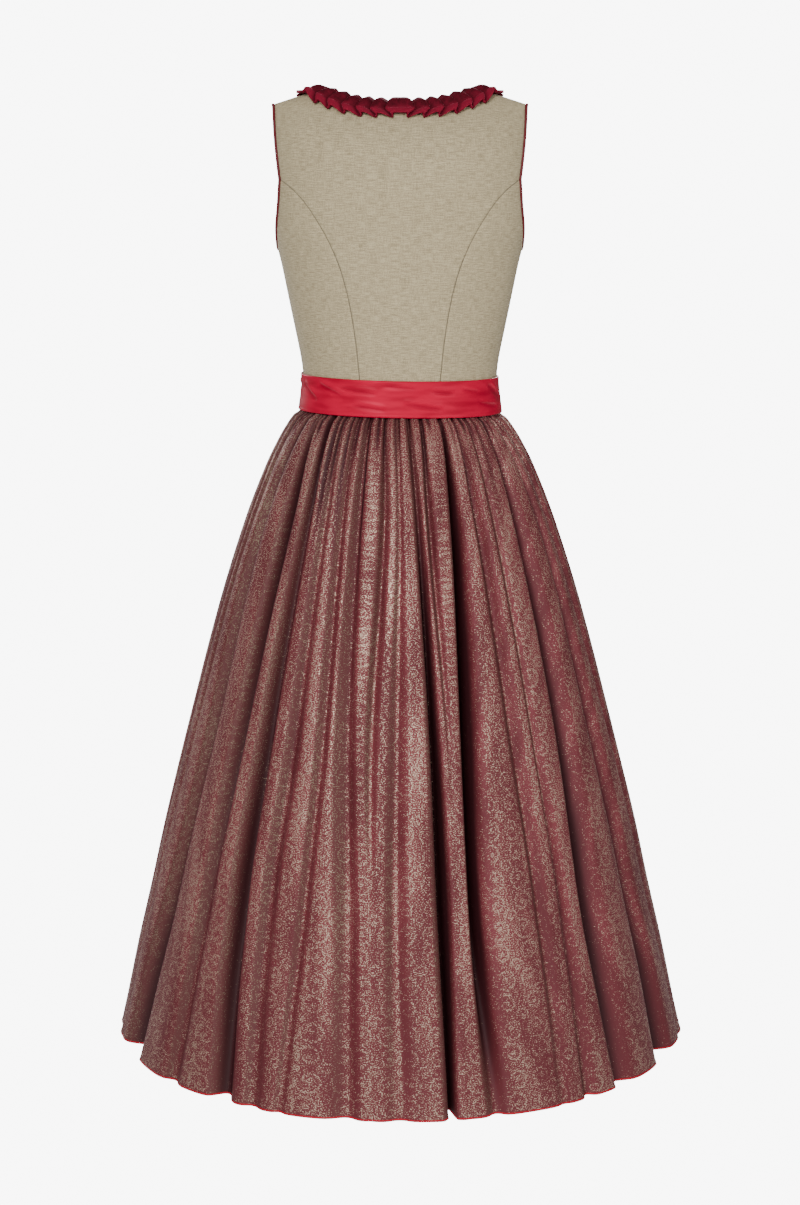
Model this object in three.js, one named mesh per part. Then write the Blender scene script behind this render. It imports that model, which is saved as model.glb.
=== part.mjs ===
// A sleeveless dirndl in its worn, hollow form: a panelled bodice with piped armholes and a pleated
// velvet ribbon round the neck, a satin waistband, and a full gathered skirt with a piped hem.
// Millimetres, +Z up, the front faces -Y and the wearer's left is +X. The origin is midway between
// the two shoulders, at the mean height of the shoulder seams.
//
// A "turn" is the angle round the garment in degrees: 0 at centre back, 90 at the wearer's right side,
// 180 at centre front. Pieces of the left side are the right side's, mirrored.

import * as THREE from 'three';

// ---------------------------------------------------------------- driving dimensions

const SEAM_GAP = 0.3;
const SEAM_SHIFT = 0.22; // how far each panel's edge stands back from the seam line
const LAID_ON = 0.9; // clear height of the ribbon over the panels' true curve

const BODICE_CLOTH = 1.5;
const SKIRT_CLOTH = 1.5;

const WAIST_Z = -400;
const HEM_Z = -1250;
const SKIRT_LENGTH = WAIST_Z - HEM_Z;

const SHOULDER_START_Z = -75; // the panels begin to round over the shoulder here
const SHOULDER_ARC = 110; // cloth in that rounding
const SHOULDER_TOP = SHOULDER_START_Z + SHOULDER_ARC; // height, along the cloth, of the shoulder seam
const SHOULDER_Y = 8; // the shoulder seam's place fore and aft
const SHOULDER_NECK = { x: 112, z: 8 }; // the shoulder seam's neck end
const SHOULDER_SLOPE = 0.32;

const CUP = { x: 80, z: -215, depth: 12, wide: 46, high: 48 };

// The sections of the bodice: half width, and depth behind and before the middle.
const BODY = [
  { z: -410, wide: 132.4, back: 93.4, front: 90.4 },
  { z: -400, wide: 131.2, back: 92.6, front: 89.6 },
  { z: -380, wide: 128.9, back: 91.2, front: 88.0 },
  { z: -360, wide: 127.6, back: 90.4, front: 87.6 },
  { z: -340, wide: 129.6, back: 91.2, front: 90.0 },
  { z: -320, wide: 133.2, back: 92.6, front: 94.0 },
  { z: -300, wide: 137.3, back: 94.0, front: 98.6 },
  { z: -262, wide: 145.0, back: 97.0, front: 108.0 },
  { z: -215, wide: 154.5, back: 100.0, front: 112.0 },
  { z: -195, wide: 159.2, back: 100.0, front: 110.0 },
  { z: -165, wide: 165.5, back: 100.0, front: 104.0 },
  { z: -130, wide: 168.0, back: 98.5, front: 97.0 },
  { z: -100, wide: 169.0, back: 95.5, front: 90.0 },
  { z: -60, wide: 169.5, back: 87.0, front: 80.0 },
  { z: -30, wide: 169.0, back: 77.0, front: 70.0 },
  { z: -10, wide: 168.0, back: 66.0, front: 62.0 },
  { z: 20, wide: 167.0, back: 50.0, front: 48.0 },
];

// Seam and edge lines on the right side, each from one corner to the next.
const BACK_PRINCESS = [
  { turn: 20.5, height: -400 },
  { turn: 23.7, height: -354 },
  { turn: 24.7, height: -313 },
  { turn: 25.8, height: -275 },
  { turn: 28.2, height: -237 },
  { turn: 30.9, height: -205 },
  { turn: 36.3, height: -178 },
  { turn: 45.6, height: -140 },
  { turn: 65.6, height: -104 },
];
const FRONT_PRINCESS = [
  { turn: 158.5, height: -400 },
  { turn: 156.8, height: -352 },
  { turn: 154.5, height: -300 },
  { turn: 151.5, height: -262 },
  { turn: 147.5, height: -215 },
  { turn: 143.0, height: -180 },
  { turn: 135.0, height: -150 },
  { turn: 126.0, height: -125 },
  { turn: 117.2, height: -105 },
];
const SIDE_SEAM = [
  { turn: 90, height: -400 },
  { turn: 90, height: -300 },
  { turn: 90, height: -197 },
];
const ARMHOLE_BACK_LOW = [
  { turn: 65.6, height: -104 },
  { turn: 69.1, height: -138 },
  { turn: 74.5, height: -165 },
  { turn: 81.0, height: -185 },
  { turn: 90.0, height: -197 },
];
const ARMHOLE_BACK_HIGH = [
  { turn: 65.6, height: -104 },
  { turn: 69.1, height: -67 },
  { turn: 71.5, height: -38 },
  { turn: 73.4, height: -5 },
  { turn: 74.6, height: SHOULDER_TOP },
];
const ARMHOLE_FRONT_LOW = [
  { turn: 90.0, height: -197 },
  { turn: 99.5, height: -185 },
  { turn: 107.0, height: -165 },
  { turn: 113.3, height: -138 },
  { turn: 117.2, height: -105 },
];
const ARMHOLE_FRONT_HIGH = [
  { turn: 117.2, height: -105 },
  { turn: 115.6, height: -67 },
  { turn: 112.0, height: -38 },
  { turn: 107.5, height: -5 },
  { turn: 105.4, height: SHOULDER_TOP },
];
const NECK_BACK = [
  { turn: 0.0, height: -15 },
  { turn: 10.0, height: -15 },
  { turn: 19.0, height: -12 },
  { turn: 28.0, height: -3 },
  { turn: 36.0, height: 11 },
  { turn: 42.1, height: SHOULDER_TOP },
];
const NECK_FRONT = [
  { turn: 137.9, height: SHOULDER_TOP },
  { turn: 139.4, height: -30 },
  { turn: 141.3, height: -70 },
  { turn: 144.0, height: -105 },
  { turn: 149.5, height: -138 },
  { turn: 159.0, height: -158 },
  { turn: 170.5, height: -165 },
  { turn: 180.0, height: -166 },
];

const SEAM_STEPS = 9; // steps along a princess or side seam
const ARMHOLE_STEPS = 6; // steps along each quarter of an armhole
const SHOULDER_STEPS = 3;
const NECK_STEPS = 8; // steps along half the back neck
const CENTRE_FRONT_STEPS = 6; // the front's other rows end on the neck
const FRONT_COLUMNS = 9;

const PIPING = { radius: 1.8, sides: 6 };

const BAND = { top: -361, bottom: -407, cloth: 1.6, laidOn: 1.1, columns: 64, rows: 3, frontGap: 0.6 };

// The pleated ribbon's section, from its lower edge on the panel to its upper edge over the neck:
// across is measured from the neck edge, off outwards from the cloth, and full is the pleats' height.
const RUFFLE_SECTION = [
  { across: -18, off: LAID_ON, lean: 0, full: 5.2 },
  { across: -11, off: LAID_ON, lean: 0, full: 5.4 },
  { across: -3, off: LAID_ON, lean: 5, full: 3.4 },
  { across: 4, off: LAID_ON + 0.4, lean: 25, full: 4.6 },
  { across: 11, off: -3.5, lean: 40, full: 5.2 },
];
// The pleats lie at a pitch along the neck from half a box pleat at centre back. A pleat's lower edge
// lags its stitching by the chevron, the share under its neighbour is under, and its height there lowest.
const RUFFLE = {
  cloth: 1.6,
  pitch: 18.2,
  boxHalf: 18.3,
  chevron: 5,
  under: 0.56,
  lowest: 0.22,
  frontGap: 0.6,
};

// The skirt's outline: half width, and depth behind and before, at each drop below the waist seam.
const SKIRT = [
  { drop: 0, wide: 131.0, back: 92.8, front: 89.3 },
  { drop: 7.5, wide: 131.6, back: 93.3, front: 89.8 },
  { drop: 13, wide: 140.0, back: 102.0, front: 99.0 },
  { drop: 32, wide: 153.5, back: 117.0, front: 113.0 },
  { drop: 51, wide: 164.2, back: 128.0, front: 124.0 },
  { drop: 71, wide: 174.2, back: 139.0, front: 135.0 },
  { drop: 111, wide: 191.0, back: 158.0, front: 154.0 },
  { drop: 151, wide: 206.0, back: 175.0, front: 171.0 },
  { drop: 231, wide: 232.0, back: 205.0, front: 201.0 },
  { drop: 312, wide: 255.0, back: 232.0, front: 228.0 },
  { drop: 394, wide: 276.5, back: 257.0, front: 253.0 },
  { drop: 476, wide: 297.5, back: 281.0, front: 277.0 },
  { drop: 558, wide: 317.5, back: 303.0, front: 299.0 },
  { drop: 641, wide: 336.0, back: 324.0, front: 320.0 },
  { drop: 724, wide: 356.0, back: 347.0, front: 343.0 },
  { drop: 808, wide: 374.0, back: 369.0, front: 364.0 },
  { drop: 850, wide: 383.5, back: 380.0, front: 376.0 },
];
const SKIRT_ROWS = [0.3, 7.5, 13, 36, 72, 128, 220, 340, 480, 640, 847];
const HEM_PIPING = { high: 2.7, proud: 0.5, cloth: 2.6 };

// Each fold is a trough that runs from the waist to the hem. Its turn from the middle of its width,
// its depth and its half width are given at five shares of the skirt's length.
const FOLD_LEVELS = [0, 0.15, 0.45, 0.7, 1];
const BACK_FOLDS = [
  { turn: [-82, -81, -82, -84, -86], deep: [5, 8, 7, 6, 4], half: [4.5, 7, 8, 9, 12] },
  { turn: [-72, -73, -73, -76, -80], deep: [6, 8, 4, 2, 1], half: [4.5, 7, 8, 8, 8] },
  { turn: [-60.5, -63, -62, -65, -71.5], deep: [7, 14, 20, 28, 42], half: [5, 9, 12, 16, 31] },
  { turn: [-51, -47.8, -48.5, -49.5, -51], deep: [7, 30, 24, 16, 10], half: [5, 10, 12, 14, 18] },
  { turn: [-41, -38, -38.5, -38.8, -36.5], deep: [8, 16, 20, 22, 18], half: [5, 8, 14, 16, 22] },
  { turn: [-31.5, -29.5, -29.3, -31, -29.5], deep: [6, 8, 12, 12, 8], half: [5, 7, 12, 14, 15] },
  { turn: [-24, -22.5, -20.9, -21.9, -23.5], deep: [7, 8, 9, 8, 5], half: [4.5, 6, 9, 9, 10] },
  { turn: [-17, -16, -14.4, -11.8, -10.2], deep: [8, 11, 12, 12, 10], half: [5, 7, 12, 15, 19] },
  { turn: [-8, -5.9, -7.6, -6.5, -5.5], deep: [8, 11, 8, 1, 1], half: [5, 6, 8, 6, 6] },
  { turn: [-1.2, 0, -0.8, -1, 0], deep: [5, 4, 9, 10, 7], half: [4, 5, 11, 14, 18] },
  { turn: [4.9, 6.9, 9.1, 9.8, 10], deep: [8, 14, 42, 54, 40], half: [4.5, 5, 6, 8, 5] },
  { turn: [11.6, 11.3, 13, 13.2, 13.4], deep: [8, 11, 3, 1, 1], half: [4.5, 5, 5, 5, 6] },
  { turn: [23, 21.6, 18.9, 17.3, 18.8], deep: [8, 36, 58, 48, 9], half: [5, 7, 10, 9, 14] },
  { turn: [31.2, 30.8, 31.6, 32.9, 33], deep: [8, 12, 11, 9, 4], half: [5, 7, 10, 10, 12] },
  { turn: [39.8, 37.8, 38.2, 40.4, 39.5], deep: [7, 5, 3, 5, 7], half: [5, 6, 6, 8, 13] },
  { turn: [51, 49.9, 49, 46.9, 48.6], deep: [8, 18, 28, 30, 14], half: [5, 9, 15, 18, 18] },
  { turn: [61, 64.5, 65.2, 66.5, 68.3], deep: [6, 9, 16, 24, 36], half: [5, 8, 12, 18, 28] },
  { turn: [71.5, 75, 77, 79, 81], deep: [7, 10, 6, 4, 3], half: [5, 8, 10, 12, 14] },
  { turn: [82, 84, 85.5, 86.5, 87.5], deep: [5, 5, 4, 3, 2], half: [4.5, 6, 6, 6, 8] },
];
const FRONT_FOLDS = [
  { turn: [99, 100, 98, 97, 95], deep: [6, 9, 7, 5, 4], half: [5, 8, 10, 10, 14] },
  { turn: [109, 110, 111, 110, 108], deep: [7, 12, 16, 18, 20], half: [5, 8, 12, 15, 22] },
  { turn: [119, 121, 122, 123, 122], deep: [7, 8, 5, 2, 1], half: [5, 7, 8, 8, 8] },
  { turn: [129, 131, 133, 133, 132], deep: [8, 20, 26, 26, 18], half: [5, 9, 14, 17, 20] },
  { turn: [138, 140.5, 143, 145, 146], deep: [7, 9, 10, 12, 10], half: [5, 7, 10, 12, 16] },
  { turn: [147, 149, 152, 154, 155.5], deep: [8, 10, 14, 16, 12], half: [5, 7, 9, 11, 14] },
  { turn: [156, 157.5, 160, 161.5, 163], deep: [7, 6, 3, 1, 1], half: [5, 6, 6, 6, 6] },
  { turn: [165, 166, 167.5, 169, 170], deep: [8, 12, 18, 20, 14], half: [5, 7, 10, 12, 15] },
  { turn: [174, 175, 176.5, 177.5, 178], deep: [7, 8, 6, 3, 2], half: [5, 6, 8, 8, 8] },
  { turn: [183.5, 184, 185, 186, 187], deep: [8, 13, 16, 18, 13], half: [5, 7, 10, 13, 16] },
  { turn: [193, 193.5, 194.5, 195, 196], deep: [7, 7, 5, 3, 2], half: [5, 6, 7, 8, 8] },
  { turn: [202, 202.5, 204, 205, 206], deep: [8, 14, 24, 30, 22], half: [5, 8, 11, 12, 15] },
  { turn: [211, 212.5, 213.5, 215, 216], deep: [7, 8, 7, 4, 2], half: [5, 6, 8, 8, 8] },
  { turn: [220, 222, 223.5, 224.5, 226], deep: [8, 12, 16, 18, 13], half: [5, 8, 12, 15, 18] },
  { turn: [230, 232, 233.5, 235, 236], deep: [7, 9, 8, 6, 4], half: [5, 7, 9, 9, 10] },
  { turn: [240, 242, 243.5, 245, 247], deep: [8, 16, 24, 28, 30], half: [5, 9, 14, 18, 24] },
  { turn: [250.5, 253, 255, 256.5, 259], deep: [7, 9, 8, 6, 4], half: [5, 8, 10, 10, 12] },
  { turn: [261, 262.5, 264.5, 266, 267], deep: [6, 7, 6, 4, 3], half: [5, 6, 7, 7, 8] },
];
// The cross-section of a trough: share of its half width, and share of its depth.
const TROUGH = [
  { across: -1, sunk: 0.12 },
  { across: -0.35, sunk: 1 },
  { across: 0.35, sunk: 1 },
  { across: 1, sunk: 0.12 },
];

// ---------------------------------------------------------------- small tools

const DEG = Math.PI / 180;

function slopeAt(rows, key, name, i) {
  const before = rows[Math.max(i - 1, 0)];
  const after = rows[Math.min(i + 1, rows.length - 1)];
  return (after[name] - before[name]) / (after[key] - before[key]);
}

// The smooth value of a table's column `name` where its column `key` is `at`.
function lookup(rows, key, at, name) {
  let i = 0;
  while (i < rows.length - 2 && at > rows[i + 1][key]) i += 1;
  const [low, high] = [rows[i], rows[i + 1]];
  const step = high[key] - low[key];
  const t = THREE.MathUtils.clamp((at - low[key]) / step, 0, 1);
  const [s, c] = [t * t * (3 - 2 * t), t * (1 - t)];
  const bend = slopeAt(rows, key, name, i) * (1 - t) - slopeAt(rows, key, name, i + 1) * t;
  return low[name] * (1 - s) + high[name] * s + bend * c * step;
}

function levelValue(values, share) {
  const rows = FOLD_LEVELS.map((level, i) => ({ level, value: values[i] }));
  return lookup(rows, 'level', share, 'value');
}

// A closed body from its corner points and faces, turned so that its faces point out.
function solid(points, faces) {
  let volume = 0;
  for (const [a, b, c] of faces) {
    volume += points[a].dot(new THREE.Vector3().crossVectors(points[b], points[c]));
  }
  const outward = volume > 0 ? faces : faces.map(([a, b, c]) => [a, c, b]);
  const geometry = new THREE.BufferGeometry();
  const numbers = points.flatMap((p) => [p.x, p.y, p.z]);
  geometry.setAttribute('position', new THREE.Float32BufferAttribute(numbers, 3));
  geometry.setIndex(outward.flat());
  geometry.computeVertexNormals();
  return geometry;
}

// A cloth wall between an outer and an inner grid of points, each a list of rows.
function wall(outer, inner) {
  const rows = outer.length;
  const columns = outer[0].length;
  const points = [...outer.flat(), ...inner.flat()];
  const faces = [];
  const quad = (a, b, c, d) => faces.push([a, b, c], [a, c, d]);
  const out = (i, j) => i * columns + j;
  const inn = (i, j) => rows * columns + i * columns + j;
  for (let i = 0; i < rows - 1; i += 1) {
    for (let j = 0; j < columns - 1; j += 1) {
      quad(out(i, j), out(i, j + 1), out(i + 1, j + 1), out(i + 1, j));
      quad(inn(i, j), inn(i + 1, j), inn(i + 1, j + 1), inn(i, j + 1));
    }
  }
  for (let j = 0; j < columns - 1; j += 1) {
    quad(out(0, j + 1), out(0, j), inn(0, j), inn(0, j + 1));
    quad(out(rows - 1, j), out(rows - 1, j + 1), inn(rows - 1, j + 1), inn(rows - 1, j));
  }
  for (let i = 0; i < rows - 1; i += 1) {
    quad(out(i, 0), out(i + 1, 0), inn(i + 1, 0), inn(i, 0));
    quad(out(i + 1, columns - 1), out(i, columns - 1), inn(i, columns - 1), inn(i + 1, columns - 1));
  }
  return solid(points, faces);
}

// A closed loop of a round cord: each station has a centre and two directions across the cord.
function cordLoop(stations, radius, sides) {
  const points = [];
  for (const { centre, across, up } of stations) {
    for (let k = 0; k < sides; k += 1) {
      const angle = ((k + 0.5) / sides) * 2 * Math.PI;
      const offset = across.clone().multiplyScalar(Math.cos(angle) * radius);
      offset.addScaledVector(up, Math.sin(angle) * radius);
      points.push(centre.clone().add(offset));
    }
  }
  const faces = [];
  for (let i = 0; i < stations.length; i += 1) {
    const next = (i + 1) % stations.length;
    for (let k = 0; k < sides; k += 1) {
      const after = (k + 1) % sides;
      const [a, b] = [i * sides + k, i * sides + after];
      const [c, d] = [next * sides + after, next * sides + k];
      faces.push([a, b, c], [a, c, d]);
    }
  }
  return solid(points, faces);
}

const mirrored = (p) => new THREE.Vector3(-p.x, p.y, p.z);
const mirroredGrid = (grid) => grid.map((row) => row.map(mirrored));

// ---------------------------------------------------------------- the bodice's surface

function shoulderZ(x) {
  return SHOULDER_NECK.z - SHOULDER_SLOPE * Math.max(0, Math.abs(x) - SHOULDER_NECK.x);
}

// The outer cloth at a turn and a height. Above SHOULDER_START_Z the height runs along the cloth,
// which rounds over to the shoulder seam.
function bodyPoint({ turn, height }) {
  const across = -Math.sin(turn * DEG);
  const along = Math.cos(turn * DEG);
  let z = height;
  let upright = 1;
  if (height > SHOULDER_START_Z) {
    const rise = ((height - SHOULDER_START_Z) / SHOULDER_ARC) * (Math.PI / 2);
    const x = across * lookup(BODY, 'z', SHOULDER_START_Z, 'wide');
    z = SHOULDER_START_Z + (shoulderZ(x) - SHOULDER_START_Z) * Math.sin(rise);
    upright = Math.cos(rise);
  }
  const x = across * lookup(BODY, 'z', z, 'wide');
  let y = along * lookup(BODY, 'z', z, along > 0 ? 'back' : 'front');
  if (along < 0) {
    const [aside, above] = [(Math.abs(x) - CUP.x) / CUP.wide, (z - CUP.z) / CUP.high];
    y += CUP.depth * along * Math.exp(-aside * aside - above * above);
  }
  return new THREE.Vector3(x, SHOULDER_Y * (1 - upright) + y * upright, z);
}

function bodyNormal({ turn, height }) {
  const [dTurn, dHeight] = [0.4, 1];
  const round = bodyPoint({ turn: turn + dTurn, height });
  round.sub(bodyPoint({ turn: turn - dTurn, height }));
  const up = bodyPoint({ turn, height: height + dHeight });
  up.sub(bodyPoint({ turn, height: height - dHeight }));
  return round.cross(up).normalize();
}

const raised = (place, by) => bodyPoint(place).addScaledVector(bodyNormal(place), by);

// A smooth line through a table's places, evenly stepped from 0 to 1.
function line(rows) {
  const mmPerDegree = 2.5;
  const corners = rows.map((row) => new THREE.Vector3(row.turn * mmPerDegree, row.height, 0));
  const curve = new THREE.CatmullRomCurve3(corners, false, 'centripetal');
  return (t) => {
    const p = curve.getPointAt(THREE.MathUtils.clamp(t, 0, 1));
    return { turn: p.x / mmPerDegree, height: p.y };
  };
}

// Places along several lines, one after the other, with the steps that each has.
function stepsAlong(parts) {
  const places = [];
  for (const { follow, steps, reverse } of parts) {
    for (let i = places.length ? 1 : 0; i <= steps; i += 1) {
      places.push(follow(reverse ? 1 - i / steps : i / steps));
    }
  }
  return places;
}

const mirroredPlace = ({ turn, height }) => ({ turn: -turn, height });

// The same place moved round by a distance in millimetres.
function shifted({ turn, height }, by) {
  const step = 0.5;
  const span = bodyPoint({ turn: turn + step, height }).distanceTo(bodyPoint({ turn, height })) / step;
  return { turn: turn + by / span, height };
}

// The places of a four-sided panel: left and right run upwards, top runs from the left edge to the
// right edge, and the lower edge is straight. Each row is a straight line from side to side, bent as
// the top edge is: fully at the top, and less and less below it, so that no two rows cross.
function panelPlaces(left, right, top) {
  const last = left.length - 1;
  const mix = (a, b, t) => a * (1 - t) + b * t;
  const blend = (name, i, j) => {
    const [u, v] = [j / (top.length - 1), i / last];
    const bend = top[j][name] - mix(left[last][name], right[last][name], u);
    return mix(left[i][name], right[i][name], u) + bend * v * v;
  };
  const place = (i, j) => ({ turn: blend('turn', i, j), height: blend('height', i, j) });
  return left.map((_, i) => top.map((__, j) => place(i, j)));
}

function panelGrids(places) {
  return {
    outer: places.map((row) => row.map((place) => bodyPoint(place))),
    inner: places.map((row) => row.map((place) => raised(place, -BODICE_CLOTH))),
  };
}

const backPrincess = line(BACK_PRINCESS);
const frontPrincess = line(FRONT_PRINCESS);
const sideSeam = line(SIDE_SEAM);
const armholeBackLow = line(ARMHOLE_BACK_LOW);
const armholeBackHigh = line(ARMHOLE_BACK_HIGH);
const armholeFrontLow = line(ARMHOLE_FRONT_LOW);
const armholeFrontHigh = line(ARMHOLE_FRONT_HIGH);
const neckBack = line(NECK_BACK);
const neckFront = line(NECK_FRONT);

// Places from one to another in equal steps.
function straight(from, to, steps) {
  return Array.from({ length: steps + 1 }, (_, i) => ({
    turn: from.turn + ((to.turn - from.turn) * i) / steps,
    height: from.height + ((to.height - from.height) * i) / steps,
  }));
}

// The shoulder seam's end of a panel stands back from the seam as its sides do.
function belowShoulder(place) {
  return { turn: place.turn, height: Math.min(place.height, SHOULDER_TOP - SEAM_SHIFT) };
}

// A seam's places from the waist up, moved off the seam line by a distance round the body.
function besideSeam(follow, by) {
  return stepsAlong([{ follow, steps: SEAM_STEPS }]).map((place) => shifted(place, by));
}

function sideBackPanel() {
  const seam = besideSeam(backPrincess, SEAM_SHIFT);
  const side = besideSeam(sideSeam, -SEAM_SHIFT);
  const top = stepsAlong([{ follow: armholeBackLow, steps: ARMHOLE_STEPS }]);
  top[0] = seam[SEAM_STEPS];
  top[ARMHOLE_STEPS] = side[SEAM_STEPS];
  return panelGrids(panelPlaces(seam, side, top));
}

function sideFrontPanel() {
  const side = besideSeam(sideSeam, SEAM_SHIFT);
  const seam = besideSeam(frontPrincess, -SEAM_SHIFT);
  const top = stepsAlong([{ follow: armholeFrontLow, steps: ARMHOLE_STEPS }]);
  top[0] = side[SEAM_STEPS];
  top[ARMHOLE_STEPS] = seam[SEAM_STEPS];
  return panelGrids(panelPlaces(side, seam, top));
}

function backPanel() {
  const right = stepsAlong([
    { follow: backPrincess, steps: SEAM_STEPS },
    { follow: armholeBackHigh, steps: ARMHOLE_STEPS },
  ]).map((place, i) => belowShoulder(i <= SEAM_STEPS ? shifted(place, -SEAM_SHIFT) : place));
  const left = right.map(mirroredPlace);
  const halfNeck = stepsAlong([{ follow: neckBack, steps: NECK_STEPS }]).map(belowShoulder);
  const shoulder = straight(halfNeck[NECK_STEPS], right[right.length - 1], SHOULDER_STEPS).slice(1);
  const topRight = [...halfNeck, ...shoulder];
  const top = [...topRight.slice(1).reverse().map(mirroredPlace), ...topRight];
  return panelGrids(panelPlaces(left, right, top));
}

// The front's rows end at centre front and then at the neck, and its top edge is the shoulder seam.
function frontPanel() {
  const side = stepsAlong([
    { follow: frontPrincess, steps: SEAM_STEPS },
    { follow: armholeFrontHigh, steps: ARMHOLE_STEPS },
  ]).map((place, i) => belowShoulder(i <= SEAM_STEPS ? shifted(place, SEAM_SHIFT) : place));
  const centre = straight({ turn: 180, height: WAIST_Z }, neckFront(1), CENTRE_FRONT_STEPS);
  const middle = centre.map((place) => shifted(place, -SEAM_SHIFT));
  const neckSteps = SEAM_STEPS + ARMHOLE_STEPS - CENTRE_FRONT_STEPS;
  const neck = stepsAlong([{ follow: neckFront, steps: neckSteps, reverse: true }]);
  const edge = [...middle, ...neck.slice(1).map(belowShoulder)];
  const shoulder = straight(side[side.length - 1], edge[edge.length - 1], FRONT_COLUMNS);
  return panelGrids(panelPlaces(side, edge, shoulder));
}

// ---------------------------------------------------------------- what is sewn to the bodice

// The directions at an edge place: along the edge, out of the cloth, and away from the panel.
function edgeFrame(before, place, after) {
  const along = bodyPoint(after).sub(bodyPoint(before)).normalize();
  const out = bodyNormal(place);
  const away = new THREE.Vector3().crossVectors(out, along).normalize();
  return { point: bodyPoint(place), out, away };
}

function armholePiping() {
  const places = stepsAlong([
    { follow: armholeBackHigh, steps: ARMHOLE_STEPS, reverse: true },
    { follow: armholeBackLow, steps: ARMHOLE_STEPS },
    { follow: armholeFrontLow, steps: ARMHOLE_STEPS },
    { follow: armholeFrontHigh, steps: ARMHOLE_STEPS },
  ]).slice(0, -1);
  const stations = places.map((place, i) => {
    const before = places[(i + places.length - 1) % places.length];
    const after = places[(i + 1) % places.length];
    const { point, out, away } = edgeFrame(before, place, after);
    const centre = point.addScaledVector(away, SEAM_GAP + PIPING.radius);
    centre.addScaledVector(out, -BODICE_CLOTH / 2);
    return { centre, across: away, up: out };
  });
  return cordLoop(stations, PIPING.radius, PIPING.sides);
}

function waistband() {
  const endTurn = 180 - BAND.frontGap / 2 / (BODY[1].front * DEG);
  const grid = (by) =>
    Array.from({ length: BAND.rows }, (_, i) => {
      const height = BAND.top + ((BAND.bottom - BAND.top) * i) / (BAND.rows - 1);
      const places = straight({ turn: -endTurn, height }, { turn: endTurn, height }, BAND.columns);
      return places.map((place) => raised(place, by));
    });
  return wall(grid(BAND.laidOn + BAND.cloth), grid(BAND.laidOn));
}

// The right half of the neck edge by distance from centre back: its frame at any distance.
function neckEdge() {
  const samples = 160;
  const places = stepsAlong([
    { follow: neckBack, steps: samples },
    { follow: neckFront, steps: samples },
  ]);
  const lengths = [0];
  for (let i = 1; i < places.length; i += 1) {
    lengths.push(lengths[i - 1] + bodyPoint(places[i]).distanceTo(bodyPoint(places[i - 1])));
  }
  const total = lengths[lengths.length - 1];
  const placeAt = (distance) => {
    const at = THREE.MathUtils.clamp(distance, 0, total);
    let i = 1;
    while (i < lengths.length - 1 && lengths[i] < at) i += 1;
    return places[i - (at - lengths[i - 1] < lengths[i] - at ? 1 : 0)];
  };
  const reach = 3;
  const frameAt = (distance) => {
    const place = placeAt(distance);
    return edgeFrame(placeAt(distance - reach), place, placeAt(distance + reach));
  };
  return { total, frameAt };
}

// The columns of the pleats on the right half: each pleat is highest at its folded edge, which points
// away from centre back, and lowest where the next pleat lies over it.
function pleatColumns(total) {
  const last = total - RUFFLE.frontGap / 2;
  const count = Math.round((last - RUFFLE.boxHalf) / RUFFLE.pitch);
  const pitch = (last - RUFFLE.boxHalf) / count;
  const columns = [{ distance: 0, high: 0.9, swept: 0 }];
  for (let k = 0; k < count; k += 1) {
    const fold = RUFFLE.boxHalf + k * pitch;
    columns.push({ distance: fold, high: 1, swept: 1 });
    columns.push({ distance: fold + pitch * (1 - RUFFLE.under), high: RUFFLE.lowest, swept: 1 });
  }
  columns.push({ distance: last, high: 1, swept: 0 });
  return columns;
}

function neckRuffle() {
  const { total, frameAt } = neckEdge();
  const columns = pleatColumns(total);
  const width = Math.abs(RUFFLE_SECTION[0].across);
  const point = (row, column, inside) => {
    const sweep = (RUFFLE.chevron * column.swept * Math.abs(row.across)) / width;
    const frame = frameAt(column.distance - sweep);
    const place = frame.point.clone().addScaledVector(frame.away, row.across);
    place.addScaledVector(frame.out, row.off);
    if (inside) return place;
    const height = RUFFLE.cloth + row.full * column.high;
    place.addScaledVector(frame.out, height * Math.cos(row.lean * DEG));
    return place.addScaledVector(frame.away, height * Math.sin(row.lean * DEG));
  };
  const grid = (inside) =>
    RUFFLE_SECTION.map((row) => {
      const right = columns.map((column) => point(row, column, inside));
      return [...right.slice(1).reverse().map(mirrored), ...right];
    });
  return wall(grid(false), grid(true));
}

// ---------------------------------------------------------------- the skirt

// The unfolded skirt at a drop and a turn: the point, the direction out of it, and how many
// millimetres round it a degree is.
function skirtBase(drop, turn) {
  const [across, along] = [-Math.sin(turn * DEG), Math.cos(turn * DEG)];
  const wide = lookup(SKIRT, 'drop', drop, 'wide');
  const deep = lookup(SKIRT, 'drop', drop, along > 0 ? 'back' : 'front');
  return {
    point: new THREE.Vector3(wide * across, deep * along, WAIST_Z - drop),
    out: new THREE.Vector3(deep * across, wide * along, 0).normalize(),
    perDegree: Math.hypot(wide * along, deep * across) * DEG,
  };
}

// The columns of one row: four in each trough, and a crest between each two troughs.
function foldColumns(folds, drop, from, to) {
  const share = drop / SKIRT_LENGTH;
  const columns = [{ turn: from, sunk: 0 }];
  for (const fold of folds) {
    const turn = levelValue(fold.turn, share);
    const half = levelValue(fold.half, share) / skirtBase(drop, turn).perDegree;
    const deep = levelValue(fold.deep, share);
    const left = turn + half * TROUGH[0].across;
    const previous = columns[columns.length - 1];
    if (columns.length > 1) columns.push({ turn: (previous.turn + left) / 2, sunk: 0 });
    for (const { across, sunk } of TROUGH) {
      columns.push({ turn: turn + half * across, sunk: deep * sunk });
    }
  }
  return [...columns, { turn: to, sunk: 0 }];
}

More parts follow.
